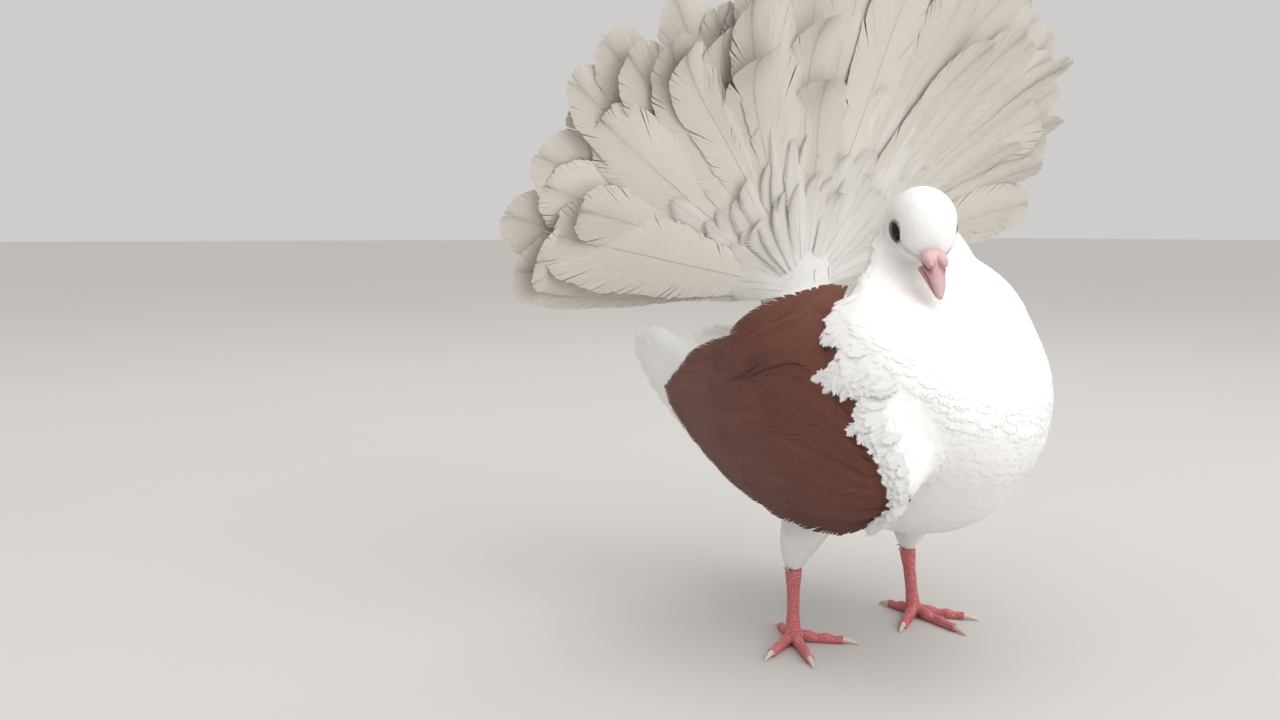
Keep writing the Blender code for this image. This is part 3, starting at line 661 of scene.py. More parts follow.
def face_forms(spots, on_face):
    """How far the skin stands out at brow, cheek and socket or in at the crease, and how much shading is painted there
    along the crease and round the socket.
    """
    place = into_head(spots)
    side = place[:, 2]
    start = np.array(CREASE[0])
    reach = np.array(CREASE[1]) - start
    along = ((place[:, :2] - start) @ reach) / (reach @ reach)
    off = ((place[:, :2] - start) @ np.array((-reach[1], reach[0]))) / np.linalg.norm(reach)
    inside = on_face * (np.abs(side) > 2) * bump_at(np.clip(along, 0, 1), along, 0.16)
    crease = bump_at(off, 0, 1.0) * inside
    brow = bump_at(off, *BROW_OFF) * inside
    cheek = bump_at(off, *CHEEK_OFF) * inside
    from_eye = np.hypot(place[:, 0] - EYE_AT[0], place[:, 1] - EYE_AT[1])
    beside = on_face * (np.abs(side) > 3)
    socket = beside * bump_at(from_eye, *SOCKET)
    hollow = beside * np.clip((HOLLOW[0] - from_eye) / HOLLOW[1], 0, 1)
    moved = CREASE_DEPTH * (0.45 * brow + 0.6 * cheek - crease) - 0.2 * socket - HOLLOW[2] * hollow
    # Shading painted along the crease, and faintly round the eye's socket
    shade = crease * np.where(side < 0, CREASE_PAINTED_SHADE[-1], CREASE_PAINTED_SHADE[1])
    return moved, np.clip(shade + 0.12 * socket, 0, 1)


def make_skin():
    """One surface over trunk, neck, head, thighs and the arms of the wings, with its fields."""
    guides = {}
    parts = []

    def lay(name, rings, lengths, kind, sign, guiding=slice(None)):
        add_guides(guides, rings[:, guiding], lengths, kind, sign)
        parts.append(tube(name, rings))

    def lengths_by(table, count, end=1):
        return curve(table, np.linspace(0, end, count))[:, 0]

    rings = body_rings()
    lay("body", rings, lengths_by(BODY_LENGTHS, len(rings), len(TRUNK) + len(NECK) - 1), BODY, -1)
    body_tree = tree_of(parts[0])
    rings = head_rings()
    lay("head", rings, lengths_by(HEAD_LENGTHS, len(rings)), FACE, -1)
    rings = nape_rings()
    lay("nape", rings, np.linspace(5.6, 3.6, len(rings)), BODY, -1)
    rings = tail_pad_rings()
    lay("pad", rings, np.linspace(15, 11, len(rings)), BODY, 1)
    for hand in (-1, 1):
        rings = thigh_rings(hand)
        lay("thigh", rings, lengths_by(THIGH_LENGTHS, len(rings)), LEG, 1)
        rings = arm_rings(hand)
        lay("arm", rings, lengths_by(WING_LENGTHS, len(rings), ARM_END), WING, 1, slice(0, ARM_SIDES // 2 + 1))
        rings = drape_rings(hand, body_tree)
        outer = DRAPE_POINTS + 1
        add_guides(guides, rings[:, :outer].transpose(1, 0, 2), np.linspace(7.5, 6, outer), WING, 1)
        parts.append(tube("drape", rings))
    guides = {name: np.concatenate(values) for name, values in guides.items()}
    skin = join("skin", parts)
    remesh(skin, SKIN_VOXEL)
    edges = edges_of(skin)
    points = averaged(coordinates(skin), edges, SKIN_ROUNDS)
    set_coordinates(skin, points)
    spots = bird(points)
    tree = tree_at(guides["points"])
    nearest = np.array([tree.find(spot)[1] for spot in spots])
    normals = unit(vertex_ways(skin)) * TURNED
    # Skin moved at brow, cheek, crease and socket, and the shading painted there
    moved, painted_shades = face_forms(spots, guides["kinds"][nearest] == FACE)
    spots = spots + normals * moved[:, None]
    set_coordinates(skin, world(spots))
    lies = averaged(guides["lies"][nearest], edges, 30)
    return skin, {
        "spots": spots,
        "normals": normals,
        "lies": laid_flat(lies, normals),
        "lengths": averaged(guides["lengths"][nearest][:, None], edges, 20)[:, 0],
        "places": guides["places"][nearest],
        "kinds": guides["kinds"][nearest],
        "painted_shades": painted_shades,
    }


# Feathers lie this share of their length apart, and how many roots are tried for each that has room
DENSITY = 0.23
TRIES = 6


def scatter(skin, fields, density):
    """Roots spread evenly over the skin, closer where the feathers are shorter."""
    mesh = skin.data
    mesh.calc_loop_triangles()
    triangles = read(mesh.loop_triangles, "vertices", 3, np.int32)
    corners = fields["spots"][triangles]
    area = np.linalg.norm(np.cross(corners[:, 1] - corners[:, 0], corners[:, 2] - corners[:, 0]), axis=1) / 2
    spacing = (fields["lengths"] * density)[triangles].mean(axis=1)
    weight = area / spacing**2
    total = int(weight.sum() * TRIES)
    chosen = random.choice(len(triangles), total, p=weight / weight.sum())
    share = random.random((total, 2))
    root = np.sqrt(share[:, :1])
    mix = np.concatenate((1 - root, root * (1 - share[:, 1:]), root * share[:, 1:]), axis=1)

    def at_roots(values):
        corners = values[triangles[chosen]]
        return (corners * (mix[..., None] if values.ndim > 1 else mix)).sum(axis=1)

    roots = {name: at_roots(fields[name]) for name in ("spots", "normals", "lies", "lengths", "painted_shades")}
    for name in ("normals", "lies"):
        roots[name] = unit(roots[name])
    for name in ("places", "kinds"):
        roots[name] = fields[name][triangles[chosen][:, 0]]
    spacing = roots["lengths"] * density
    tree = tree_at(roots["spots"])
    free = np.ones(total, dtype=bool)
    kept = []
    for i in range(total):
        if free[i]:
            kept.append(i)
            for _, j, _ in tree.find_range(roots["spots"][i], spacing[i]):
                free[j] = False
    return picked(roots, np.array(kept))


def eye_seat(hand, skin_tree):
    """Where the skin lies round an eye, and the ways along, up and out of it."""
    zero, rise, aside, spot = (
        Vector(point) for point in world(head_points([(0, 0, 0), (0, 1, 0), (0.3, 0, hand), (*EYE_AT, hand * 12)]))
    )
    top = (rise - zero).normalized()
    normal = (aside - zero).normalized()
    centre = spot
    for _ in range(4):
        along = top.cross(normal).normalized()
        top = normal.cross(along).normalized()
        around = []
        for turn in circle(24):
            start = centre + (along * math.cos(turn) + top * math.sin(turn)) * LID_ACROSS * MM + normal * 0.01
            hit = skin_tree.ray_cast(start, -normal, 0.025)[0]
            if hit:
                around.append(hit)
        ring = sum(around, Vector()) / len(around)
        fitted = Vector(np.linalg.svd(np.array(around) - np.array(ring))[2][2])
        normal = fitted if fitted.dot(normal) > 0 else -fitted
        centre = centre + normal * (ring - centre).dot(normal)
    along = top.cross(normal).normalized()
    return centre, along, normal.cross(along).normalized(), normal


def spare_eyes(roots, skin_tree):
    """Roots without those under the eyes; those near them are short and lie round them."""
    for hand in (-1, 1):
        centre, _, _, out = (np.array(part) for part in eye_seat(hand, skin_tree))
        offset = world(roots["spots"]) - centre
        offset = (offset - (offset @ out)[:, None] * out) / MM
        away = np.linalg.norm(offset, axis=1)
        face = (roots["kinds"] == FACE) & (into_head(roots["spots"])[:, 2] * hand > 3)
        keep = ~face | (away > EYE_CLEAR)
        roots = picked(roots, keep)
        face, away, offset = face[keep], away[keep], offset[keep]
        near = np.where(face, np.clip(1 - (away - EYE_CLEAR) / 3.6, 0, 1), 0)
        step = offset / np.maximum(away, 1e-6)[:, None] * TURNED
        inward = np.clip(-(roots["lies"] * step).sum(axis=1), 0, 1) * near
        roots["lies"] = laid_flat(roots["lies"] + step * (1.5 * inward)[:, None], roots["normals"])
        roots["lengths"] = roots["lengths"] * (1 - 0.5 * near)
    return roots


def picked(roots, mask):
    return {name: values[mask] for name, values in roots.items()}


# Vanes: outlines by share of the length, with share of the half width

BODY_OUTLINE = [(0, 0.35), (0.25, 0.7), (0.55, 1), (0.8, 0.92), (0.93, 0.6), (1, 0.16)]
WING_OUTLINE = [(0, 0.3), (0.3, 0.7), (0.65, 1), (0.85, 0.98), (0.95, 0.72), (1, 0.3)]
TAIL_OUTLINE = [(0, 0.14), (0.25, 0.46), (0.55, 0.86), (0.8, 1), (0.93, 0.84), (0.985, 0.5), (1, 0.2)]
COVERT_OUTLINE = [(0, 0.2), (0.3, 0.6), (0.6, 0.95), (0.8, 0.92), (0.93, 0.6), (1, 0.15)]
BARB_STEPS = 400
BARB_REACH = 1.2
BARB_BEND = 0.12
FIRST_BARB = 0.05
LAST_BARB = 0.97
TIP_ANGLE = 4
BARB_OVERLAP = 1.14
# Across a patch of the bake map, and how deep a root is sunk, as a share of the length
PATCH = 0.003
ROOT_SUNK = 0.015
# Shares of a plume's length and half width where the skin under it is read, and how far its tip reaches
READ_ALONG = 0.6
READ_ACROSS = 0.85
TIP_AT = 0.92


def barbs_of(count, stations, ratio, outline, base_angle=52, fray=0.4):
    """Barbs of both halves of a vane: (strip, station, edge) to across and along, each within 1."""
    table = np.array(outline)
    lines = []
    for i in range(count + 1):
        share = i / count
        root = FIRST_BARB + (LAST_BARB - FIRST_BARB) * share**0.92
        angle = math.radians(base_angle + (TIP_ANGLE - base_angle) * share**1.6)
        steps = np.linspace(0, BARB_REACH, BARB_STEPS)
        across = np.sin(angle) * steps / ratio
        along = root + np.cos(angle) * steps + BARB_BEND * np.sin(angle) * steps**2
        limit = np.interp(along, table[:, 0], table[:, 1], right=0)
        inside = (across <= limit) & (along <= 1)
        last = max(int(np.argmin(inside)) - 1, 1) if not inside.all() else len(steps) - 1
        at = np.linspace(0, last, stations + 1)
        lines.append(np.stack([np.interp(at, np.arange(BARB_STEPS), line) for line in (across, along)], axis=-1))
    low, high = np.array(lines[:-1]), np.array(lines[1:])
    middle = (low + high) / 2
    share = np.linspace(0, 1, stations + 1)[None, :, None]
    wide = BARB_OVERLAP - fray * share**6
    strips = np.stack((middle + (low - middle) * wide, middle + (high - middle) * wide), axis=2)
    mirror = (strips * np.array((-1, 1)))[:, :, ::-1]
    return np.concatenate((strips, mirror))


def varied(plan, number, clump, split, stray, proud, reach):
    """Copies of a plan with every barb a little different: across, along, height and station share.

    Clumps of barbs share a part of the spreads: split and stray along, proud in height, reach across.
    """
    count, stations = plan.shape[:2]
    share = np.linspace(0, 1, stations)[None, None, :, None]
    groups = np.arange(count) // clump

    def draw(spread, shared):
        size = (number, groups.max() + 1) if shared else (number, count)
        values = random.normal(0, spread, size)
        return (values[:, groups] if shared else values)[:, :, None, None]

    across = plan[None, ..., 0] * (1 + (draw(reach, False) + draw(reach, True)) * share**2)
    along = plan[None, ..., 1] + (draw(stray, False) + draw(split, True)) * share**2
    height = (draw(proud, False) + draw(proud, True)) * share**1.5 + np.zeros_like(across)
    return across, along, height, np.broadcast_to(share, across.shape)


def per(values):
    """One value or vector for each vane, ready to meet its barbs."""
    return np.asarray(values)[:, None, None, None]


class Coat:
    """Strips gathered for one piece."""

    def __init__(self, name, softness=0.72):
        self.name = name
        self.softness = softness
        self.rows = {}
        self.count = 0

    def keep(self, name, values):
        self.rows.setdefault(name, []).append(values)

    def add(self, points, facing, places, tone, edge, along, shade=0.0):
        """Strips as (..., station, edge, 3), the way they face, and bake places of the same shape."""
        stations = points.shape[-3]
        shape = points.shape[:-1]
        strips = points.reshape(-1, stations, 2, 3)
        size = stations * 2
        base = self.count + np.arange(len(strips))[:, None] * size + np.arange(stations - 1)[None] * 2
        base = base.ravel()
        self.keep("faces", np.stack((base, base + 2, base + 3, base + 1), axis=1))
        self.keep("points", strips.reshape(-1, 3))
        self.keep("facing", np.broadcast_to(facing, points.shape).reshape(-1, 3))
        self.keep("OFBake", np.broadcast_to(places, (*shape, 2)).reshape(-1, 2))
        # Each strip also carries how much shading is painted into its colour
        for name, values in (("tone", tone), ("edge", edge), ("along", along), ("shade", shade)):
            self.keep(name, np.broadcast_to(values, shape).ravel())
        cross = np.broadcast_to(np.array((0.0, 1.0)), shape)
        self.keep("Barb", np.stack((cross, np.broadcast_to(edge, shape)), axis=-1).reshape(-1, 2))
        self.count += len(strips) * size

    def build(self, look, slot, *nodes):
        rows = {name: np.concatenate(values) for name, values in self.rows.items()}
        piece = mesh_from(
            self.name, rows["points"], rows["faces"],
            {name: rows[name] for name in ("tone", "edge", "along", "shade")},
            {name: rows[name] for name in ("OFBake", "Barb")},
        )
        piece.data.uv_layers["OFBake"].active_render = True
        face_along(piece, rows["facing"], self.softness)
        dress(piece, look, slot, *nodes)


def face_along(piece, facing, softness):
    """Shades the strips mostly by the form that they lie on, so that they run into each other softly."""
    own = vertex_ways(piece)
    facing = unit(facing) * TURNED
    facing = facing * np.where((own * facing).sum(axis=1, keepdims=True) < 0, -1, 1)
    piece.data.normals_split_custom_set_from_vertices(unit(own * (1 - softness) + facing * softness).tolist())


def dress(piece, look, slot, *nodes):
    piece.data.materials.clear()
    piece.data.materials.append(look)
    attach(piece, "root")
    if nodes:
        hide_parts(*nodes)


def add_plumes(coat, roots, plan, tree, width, cup, lift, ruffle):
    """Small feathers that follow the skin, along their length and under their edges."""
    number = len(roots["spots"])
    length = roots["lengths"] * random.uniform(0.88, 1.12, number)
    half = length * width * random.uniform(0.9, 1.1, number)
    spots, normal = roots["spots"], roots["normals"]
    lie = unit(roots["lies"] + np.cross(normal, roots["lies"]) * random.normal(0, 0.07, (number, 1)))
    side = np.cross(normal, lie)
    sag = np.zeros(number)
    turned = normal.copy()
    for i, tip in enumerate(world(spots + lie * length[:, None] * TIP_AT)):
        near, _, face, _ = tree.find_nearest(Vector(tip))
        sag[i] = np.clip(((bird(near) - spots[i]) * normal[i]).sum(), -length[i] / 2, length[i] / 2)
        turned[i] = skin_facing[face]
    edges = []
    for way in (-1, 1):
        middle = spots + lie * length[:, None] * READ_ALONG + side * half[:, None] * way * READ_ACROSS
        near = bird(np.array([tree.find_nearest(Vector(spot))[0] for spot in world(middle)]))
        low = ((near - spots) * normal).sum(axis=1) - sag * 0.42
        edges.append(np.clip(low, -half / 2, half / 2))
    bend, tilt = (edges[1] + edges[0]) / 1.45, (edges[1] - edges[0]) / 1.7
    rise = lift * length * random.uniform(0.8, 1.2, number)
    across, along, height, share = varied(plan, number, *ruffle)
    up = (
        per(sag) * along**2 / 0.85 + per(rise) * along - per(length) * ROOT_SUNK
        + (per(bend) * across**2 + per(tilt) * across) * np.clip(along / READ_ALONG, 0, 1)
        - per(half * cup) * across**2 * along + height * per(length)
    )
    points = (
        per(spots) + per(lie) * (along * per(length))[..., None] + per(side) * (across * per(half))[..., None]
        + per(normal) * up[..., None]
    )
    facing = per(normal) * (1 - along[..., None]) + per(turned) * along[..., None]
    facing = facing + per(side) * across[..., None] * 0.22
    places = per(roots["places"]) + PATCH * np.stack((across / 2, along - 0.5), axis=-1)
    # The last value is the shading painted along the face's crease and round the eyes
    coat.add(points, facing, places, per(random.normal(0, 0.05, number)), share, along, per(roots["painted_shades"]))


def add_tufts(coat, starts, ends, outward, half, plan, ruffle, bulge):
    """Loose feathers, each from its start over a low arch to its end."""
    number = len(starts)
    outward = unit(outward)
    top = (starts + ends) / 2 + outward * bulge
    across, along, height, share = varied(plan, number, *ruffle)
    side = per(unit(np.cross(outward, ends - starts)))
    t = along[..., None]
    middle = per(starts) * (1 - t) ** 2 + per(top) * 2 * t * (1 - t) + per(ends) * t**2
    half = np.broadcast_to(half, number) * random.uniform(0.85, 1.15, number)
    rounding = height * per(np.linalg.norm(ends - starts, axis=1)) - per(half) * 0.14 * across**2
    points = middle + side * (across * per(half))[..., None] + per(outward) * rounding[..., None]
    facing = per(outward) + side * across[..., None] * 0.25
    places = random.uniform(0.03, 0.97, (number, 2))
    places = per(places) + PATCH * np.stack((across / 2, along - 0.5), axis=-1)
    coat.add(points, facing, places, per(random.normal(0, 0.04, number)), share, along)


# Looks


class Look:
    """A node material with one shader."""

    def __init__(self, name, roughness, **inputs):
        self.material = bpy.data.materials.new(name)
        self.material.use_nodes = True
        self.nodes = self.material.node_tree.nodes
        self.shader = self.nodes["Principled BSDF"]
        self.put(self.shader, {"Roughness": roughness, "Sheen Roughness": 0.5})
        self.put(self.shader, {name.replace("_", " ").title(): value for name, value in inputs.items()})

    def put(self, node, inputs):
        """Sets sockets to numbers or colours, or links them to other sockets."""
        for socket, value in inputs.items():
            if isinstance(value, (int, float)):
                node.inputs[socket].default_value = value
            elif isinstance(value, tuple):
                node.inputs[socket].default_value = (*value, 1)
            else:
                self.material.node_tree.links.new(value, node.inputs[socket])

    def node(self, kind, inputs, **settings):
        node = self.nodes.new(kind)
        for key, value in settings.items():
            setattr(node, key, value)
        self.put(node, inputs)
        return node

    def attribute(self, name):
        return self.node("ShaderNodeAttribute", {}, attribute_name=name).outputs["Fac"]

    def place(self):
        return self.node("ShaderNodeTexCoord", {}).outputs["Object"]

    def noise(self, scale, detail=3.0):
        inputs = {"Scale": scale, "Detail": detail, "Vector": self.place()}
        return self.node("ShaderNodeTexNoise", inputs).outputs["Fac"]

    def number(self, operation, *values):
        return self.node("ShaderNodeMath", dict(enumerate(values)), operation=operation).outputs[0]

    def spread(self, value, low, high):
        """Value from low..high mapped to 0..1."""
        return self.node("ShaderNodeMapRange", {"Value": value, "From Min": low, "From Max": high}).outputs["Result"]

    def mix(self, share, first, second):
        return self.node("ShaderNodeMix", {0: share, 6: first, 7: second}, data_type="RGBA").outputs[2]

    def split(self, vector):
        return self.node("ShaderNodeSeparateXYZ", {0: vector}).outputs

    def colour(self, value):
        self.put(self.shader, {"Base Color": value})

    def bump(self, height, distance):
        node = self.node("ShaderNodeBump", {"Height": height, "Distance": distance})
        self.put(self.shader, {"Normal": node.outputs["Normal"]})


def feather_look(name, colours, roughness, shade, bump, lines=5.0, fringe=None, base_of=None):
    """Vane of barbs: colours mixed feather by feather, fine lines along the barbs, a fringe, a paler root."""
    look = Look(name, roughness)
    tone = look.spread(look.attribute("tone"), -0.12, 0.12)
    patches = look.noise(55, 2)
    share = look.number("ADD", look.number("MULTIPLY", tone, 0.6), look.number("MULTIPLY", patches, 0.4))
    base = look.mix(share, *colours)
    if fringe:
        edge = look.spread(look.attribute("edge"), fringe[1], 1.0)
        base = look.mix(look.number("MULTIPLY", edge, fringe[2]), base, fringe[0])
    if base_of:
        rise = look.number("ADD", look.attribute("along"), look.number("MULTIPLY", patches, 0.3))
        base = look.mix(look.spread(rise, 0.25, 0.8), base_of, base)
    # Colour mixed towards the painted shading colour as far as the strips carry painted shading
    look.colour(look.mix(look.attribute("shade"), base, shade))
    barb = look.split(look.node("ShaderNodeUVMap", {}, uv_map="Barb").outputs["UV"])[0]
    wave = look.number("SINE", look.number("MULTIPLY", barb, lines * 2 * math.pi))
    look.bump(look.number("ADD", wave, look.noise(1800, 2)), bump)
    return look.material


WHITE = ((0.82, 0.815, 0.80), (0.90, 0.895, 0.885))
# Tail's own slight creamy tint, made greyer with painted shading
CREAM_WITH_PAINTED_SHADE = ((0.60, 0.55, 0.485), (0.74, 0.70, 0.64))
PALE = ((0.70, 0.67, 0.62), (0.80, 0.775, 0.735))
BROWN = ((0.120, 0.035, 0.023), (0.178, 0.058, 0.038))
BROWN_FRINGE = (0.21, 0.082, 0.058)
FLOOR = ((0.50, 0.485, 0.465), (0.53, 0.515, 0.495))
STUDIO = (0.62, 0.61, 0.60, 1)
# Colours of painted shading on white and on brown plumage
WHITE_PAINTED_SHADE = (0.36, 0.33, 0.32)
BROWN_PAINTED_SHADE = (0.060, 0.018, 0.014)


def make_looks():
    return {
        "white": feather_look("white_plumage", WHITE, 0.8, WHITE_PAINTED_SHADE, 0.000006),
        "cream": feather_look("cream_tail", CREAM_WITH_PAINTED_SHADE, 0.72, WHITE_PAINTED_SHADE, 0.00003, lines=3, base_of=PALE[1]),
        "brown": feather_look("brown_wing", BROWN, 0.66, BROWN_PAINTED_SHADE, 0.00001, fringe=(BROWN_FRINGE, 0.8, 0.35)),
        "pale": feather_look("pale_coverts", PALE, 0.75, WHITE_PAINTED_SHADE, 0.00002, lines=3, base_of=WHITE[1]),
        "skin": skin_look(),
        "eye": eye_look(),
        "lid": lid_look(),
        "bill": bill_look(),
        "foot": foot_look(),
        "claw": claw_look(),
    }


def skin_look():
    look = Look("down", 0.85, sheen_weight=0.3)
    share = look.noise(300, 3)
    look.colour(look.mix(look.attribute("brown"), look.mix(share, *WHITE), look.mix(share, *BROWN)))
    look.bump(look.noise(1500, 3), 0.0002)
    return look.material


def eye_look():
    """Dark brown iris round a black pupil, under a wet cornea."""
    look = Look("eye", 0.12)
    look.put(look.shader, {"Specular IOR Level": 0.2})
    squares = [look.number("POWER", value, 2.0) for value in look.split(look.place())[:2]]
    pupil = look.spread(look.number("SQRT", look.number("ADD", *squares)), 0.0017, 0.0019)
    iris = look.mix(look.noise(1200), (0.010, 0.005, 0.004), (0.020, 0.009, 0.006))
    look.colour(look.mix(pupil, (0.004, 0.003, 0.003), iris))
    return look.material


def lid_look():
    look = Look("lid", 0.5)
    base = look.mix(look.noise(900, 3), (0.50, 0.42, 0.41), (0.62, 0.55, 0.53))
    look.colour(look.mix(look.attribute("inner"), base, (0.06, 0.04, 0.038)))
    look.bump(look.noise(2500, 2), 0.0001)
    return look.material


def bill_look():
    """Flesh pink horn, whiter at the cere and paler at the tip, with shading painted dark at the nostril under the cere
    and along the gape.
    """
    look = Look("bill", 0.42, subsurface_weight=0.1, subsurface_scale=0.002)
    base = look.mix(look.noise(260, 3), (0.45, 0.235, 0.25), (0.56, 0.325, 0.335))
    base = look.mix(look.attribute("powder"), base, (0.66, 0.50, 0.50))
    base = look.mix(look.attribute("tip"), base, (0.50, 0.37, 0.37))
    # Shading painted dark at the nostril under the cere and along the gape
    look.colour(look.mix(look.attribute("slit_painted_shade"), base, (0.07, 0.022, 0.03)))
    look.bump(look.noise(1600, 3), 0.00008)
    return look.material


def foot_look():
    """Red skin in small scales, paler along their edges and between them."""
    look = Look("foot", 0.45, subsurface_weight=0.08, subsurface_scale=0.002)
    cells = look.node("ShaderNodeTexVoronoi", {"Scale": 900, "Vector": look.place()}, feature="DISTANCE_TO_EDGE")
    gap = look.spread(cells.outputs["Distance"], 0.0, 0.12)
    base = look.mix(look.noise(180, 4), (0.42, 0.055, 0.075), (0.60, 0.13, 0.14))
    look.colour(look.mix(gap, (0.66, 0.30, 0.29), base))
    look.bump(look.number("ADD", gap, look.noise(2200, 2)), 0.00012)
    return look.material


def claw_look():
    look = Look("claw", 0.32)
    look.colour(look.mix(look.noise(600, 3), (0.50, 0.37, 0.30), (0.72, 0.60, 0.52)))
    look.bump(look.noise(1500, 3), 0.00005)
    return look.material


# Shield of the wing in side view (ahead, up), its front edge first

SHIELD = [
    (10, 143), (13, 134), (17, 129), (25, 127), (29, 124), (26, 119), (18, 115), (30, 113), (42, 112),
    (40, 106), (39, 101), (44, 98), (48, 94), (52, 87), (55, 79), (54, 70), (45, 62), (28, 56), (-40, 40),
    (-150, 40), (-150, 90), (-125, 110), (-84, 121), (-56, 126), (-35, 134), (-14, 144),
]
SHIELD_FRONT = 18
# Rows of white feathers over its front edge: how far their tips pass it, their length, depth under the form
BOUNDARY_ROWS = [(2.2, 7, 0.5), (0.8, 7, 0.4), (-0.8, 7, 0.4)]
BOUNDARY_STEP = 1.2
BOUNDARY_BRIDGE = 7
TUFTS_LOW = {-1: 60, 1: 84}
BOUNDARY_LIE = (-0.82, -0.57)


def inside_shield(ahead, up):
    """True where a place of the side view lies in the brown shield."""
    corners = np.array(SHIELD, dtype=float)
    inside = np.zeros(np.shape(ahead), dtype=bool)
    for (x1, y1), (x2, y2) in zip(corners, np.roll(corners, -1, axis=0)):
        crosses = (y1 > up) != (y2 > up)
        at = (x2 - x1) * (up - y1) / (y2 - y1 + 1e-9) + x1
        inside ^= crosses & (ahead < at)
    return inside


def depth_in_fairing(spots):
    """How deep a point lies under the wing's outer form, measured sideways."""
    ahead, up = spots[..., 1], spots[..., 2]
    inset = np.where(spots[..., 0] < 0, wing_set(ahead, up, -1), wing_set(ahead, up, 1))
    return fairing_side(ahead, up) - inset - np.abs(spots[..., 0])


def on_shield(spots, kinds):
    inside = inside_shield(spots[..., 1] + tuck_at(spots), spots[..., 2])
    return (kinds == WING) & inside & (depth_in_fairing(spots) < 8)


def boundary_tufts(hand, skin_tree):
    """Ragged white feathers over the shield's front edge: starts, ends and outward ways."""
    line = np.array(SHIELD[:SHIELD_FRONT], dtype=float) - (WING_TUCK[hand], 0)
    steps = np.concatenate(((0,), np.cumsum(np.linalg.norm(np.diff(line, axis=0), axis=1))))
    starts, ends, outward = [], [], []

    def on_line(at):
        return np.stack([np.interp(at, steps, line[:, i]) for i in (0, 1)], axis=1)

    for row, (behind, length, depth) in enumerate(BOUNDARY_ROWS):
        at = np.arange(0.5 + row, steps[-1], BOUNDARY_STEP)
        at = at + random.normal(0, 0.5, len(at))
        run = unit(on_line(at + 4) - on_line(at - 4))
        inward = np.stack((run[:, 1], -run[:, 0]), axis=1)
        lie = unit(0.45 * inward + 0.55 * np.array(BOUNDARY_LIE) + random.normal(0, 0.16, inward.shape))
        tips = on_line(at) + lie * (behind + random.normal(0, 1.3, len(at)))[:, None]
        feet = tips - lie * (length * random.uniform(0.85, 1.15, len(at)))[:, None]
        for tip, foot in zip(tips, feet):
            if tip[1] < TUFTS_LOW[hand]:
                continue
            end = fairing_points(tip[0], tip[1], np.array(depth + random.normal(0, 0.15)), hand)
            base = fairing_points(foot[0], foot[1], np.array(2.0), hand)
            base[1] = foot[0]
            near, normal, _, _ = skin_tree.find_nearest(Vector(world(base)))
            near = bird(near)
            if np.linalg.norm(near - base) > BOUNDARY_BRIDGE:
                continue
            starts.append(near)
            ends.append(end)
            way = wing_facing(end, 0.0, hand)
            outward.append((normal[0] + way[0], -normal[1] + way[1], normal[2] + way[2]))
    return np.array(starts), np.array(ends), np.array(outward)


def aimed(name, data, at, way):
    """New lamp or camera that looks along a way."""
    result = linked(name, data)
    result.location = at
    result.rotation_mode = "QUATERNION"
    result.rotation_quaternion = Vector(way).to_track_quat("-Z", "Y")
    return result


def make_camera():
    """Camera fitted to the photo."""
    lens = bpy.data.cameras.new("camera")
    lens.lens = CAMERA_LENS
    lens.sensor_width = 36
    level = math.cos(CAMERA_DOWN)
    way = (CAMERA_WAY[0] * level, CAMERA_WAY[1] * level, -math.sin(CAMERA_DOWN))
    bpy.context.scene.camera = aimed("camera", lens, Vector(world(np.array(CAMERA_AT))), way)


def area_light(name, at, aim, size, power):
    light = bpy.data.lights.new(name, "AREA")
    light.shape = "DISK"
    light.size = size
    light.energy = power
    aimed(name, light, at, Vector(aim) - Vector(at))


def make_studio():
    bpy.context.scene.view_settings.view_transform = "Standard"
    bpy.ops.mesh.primitive_plane_add(size=40, location=(0, 0, 0))
    floor = bpy.context.object
    floor.name = "floor"
    look = Look("floor", 0.8)
    look.colour(look.mix(look.noise(3, 2), *FLOOR))
    floor.data.materials.append(look.material)
    area_light("key", (0.25, -1.3, 1.2), (0, 0, 0.14), 1.7, 11)
    area_light("top", (0.1, 0.2, 1.5), (0, 0, 0.1), 1.8, 8)
    sun = bpy.data.lights.new("soft_sun", "SUN")
    sun.energy = 1.45
    sun.angle = math.radians(90)
    aimed("soft_sun", sun, (0, 0, 0), (-0.1, 0.75, -0.9))
    around = bpy.data.worlds.new("studio")
    around.use_nodes = True
    background = around.node_tree.nodes["Background"]
    background.inputs["Color"].default_value = STUDIO
    background.inputs["Strength"].default_value = 1.0
    bpy.context.scene.world = around


# Wings

# Scapulars, median and greater coverts, secondaries: count, lowest and highest across, along of root and tip,
# half width, depth
WING_TIERS = [
    (6, 0.80, 1.03, -0.02, 0.52, 0.085, 0.5),
    (11, 0.07, 0.92, -0.06, 0.38, 0.075, 1.0),
    (12, 0.07, 0.94, 0.18, 0.64, 0.075, 2.1),
    (13, 0.08, 0.96, 0.34, 1.0, 0.095, 3.4),
]
WING_TILT = 0.3
# Place of painted shading high on the shield (ahead, up), its spreads and strength; painted shading along the rim
# below: height and strength
SPOT = (-20, 116)
SPOT_WIDE = (6, 3.5)
SPOT_PAINTED_SHADE = 0.8
RIM_HEIGHT = 16
RIM_PAINTED_SHADE = 0.75
# Flight feathers from the lowest up: turn in degrees about their centre, and reach
PRIMARY_FAN = [
    (-2.8, 154), (-1.1, 168), (0.8, 182), (2.6, 195), (4.2, 207), (5.6, 216), (6.9, 221), (8.1, 217), (9.3, 207),
    (10.5, 195),
]
PRIMARIES = len(PRIMARY_FAN)
PRIMARY_CENTRE = (40, 84)
PRIMARY_START = 78
PRIMARY_HALF = 6.6
PRIMARY_DEPTH = 5.6
PRIMARY_TILT = 0.5


def strip_places(number, total, across, along):
    """Places on an unwrap where every vane has a strip of its own."""
    column = (number + 0.5) / total
    return np.stack((column + across * 0.36 / total, 0.03 + along * 0.94), axis=-1)


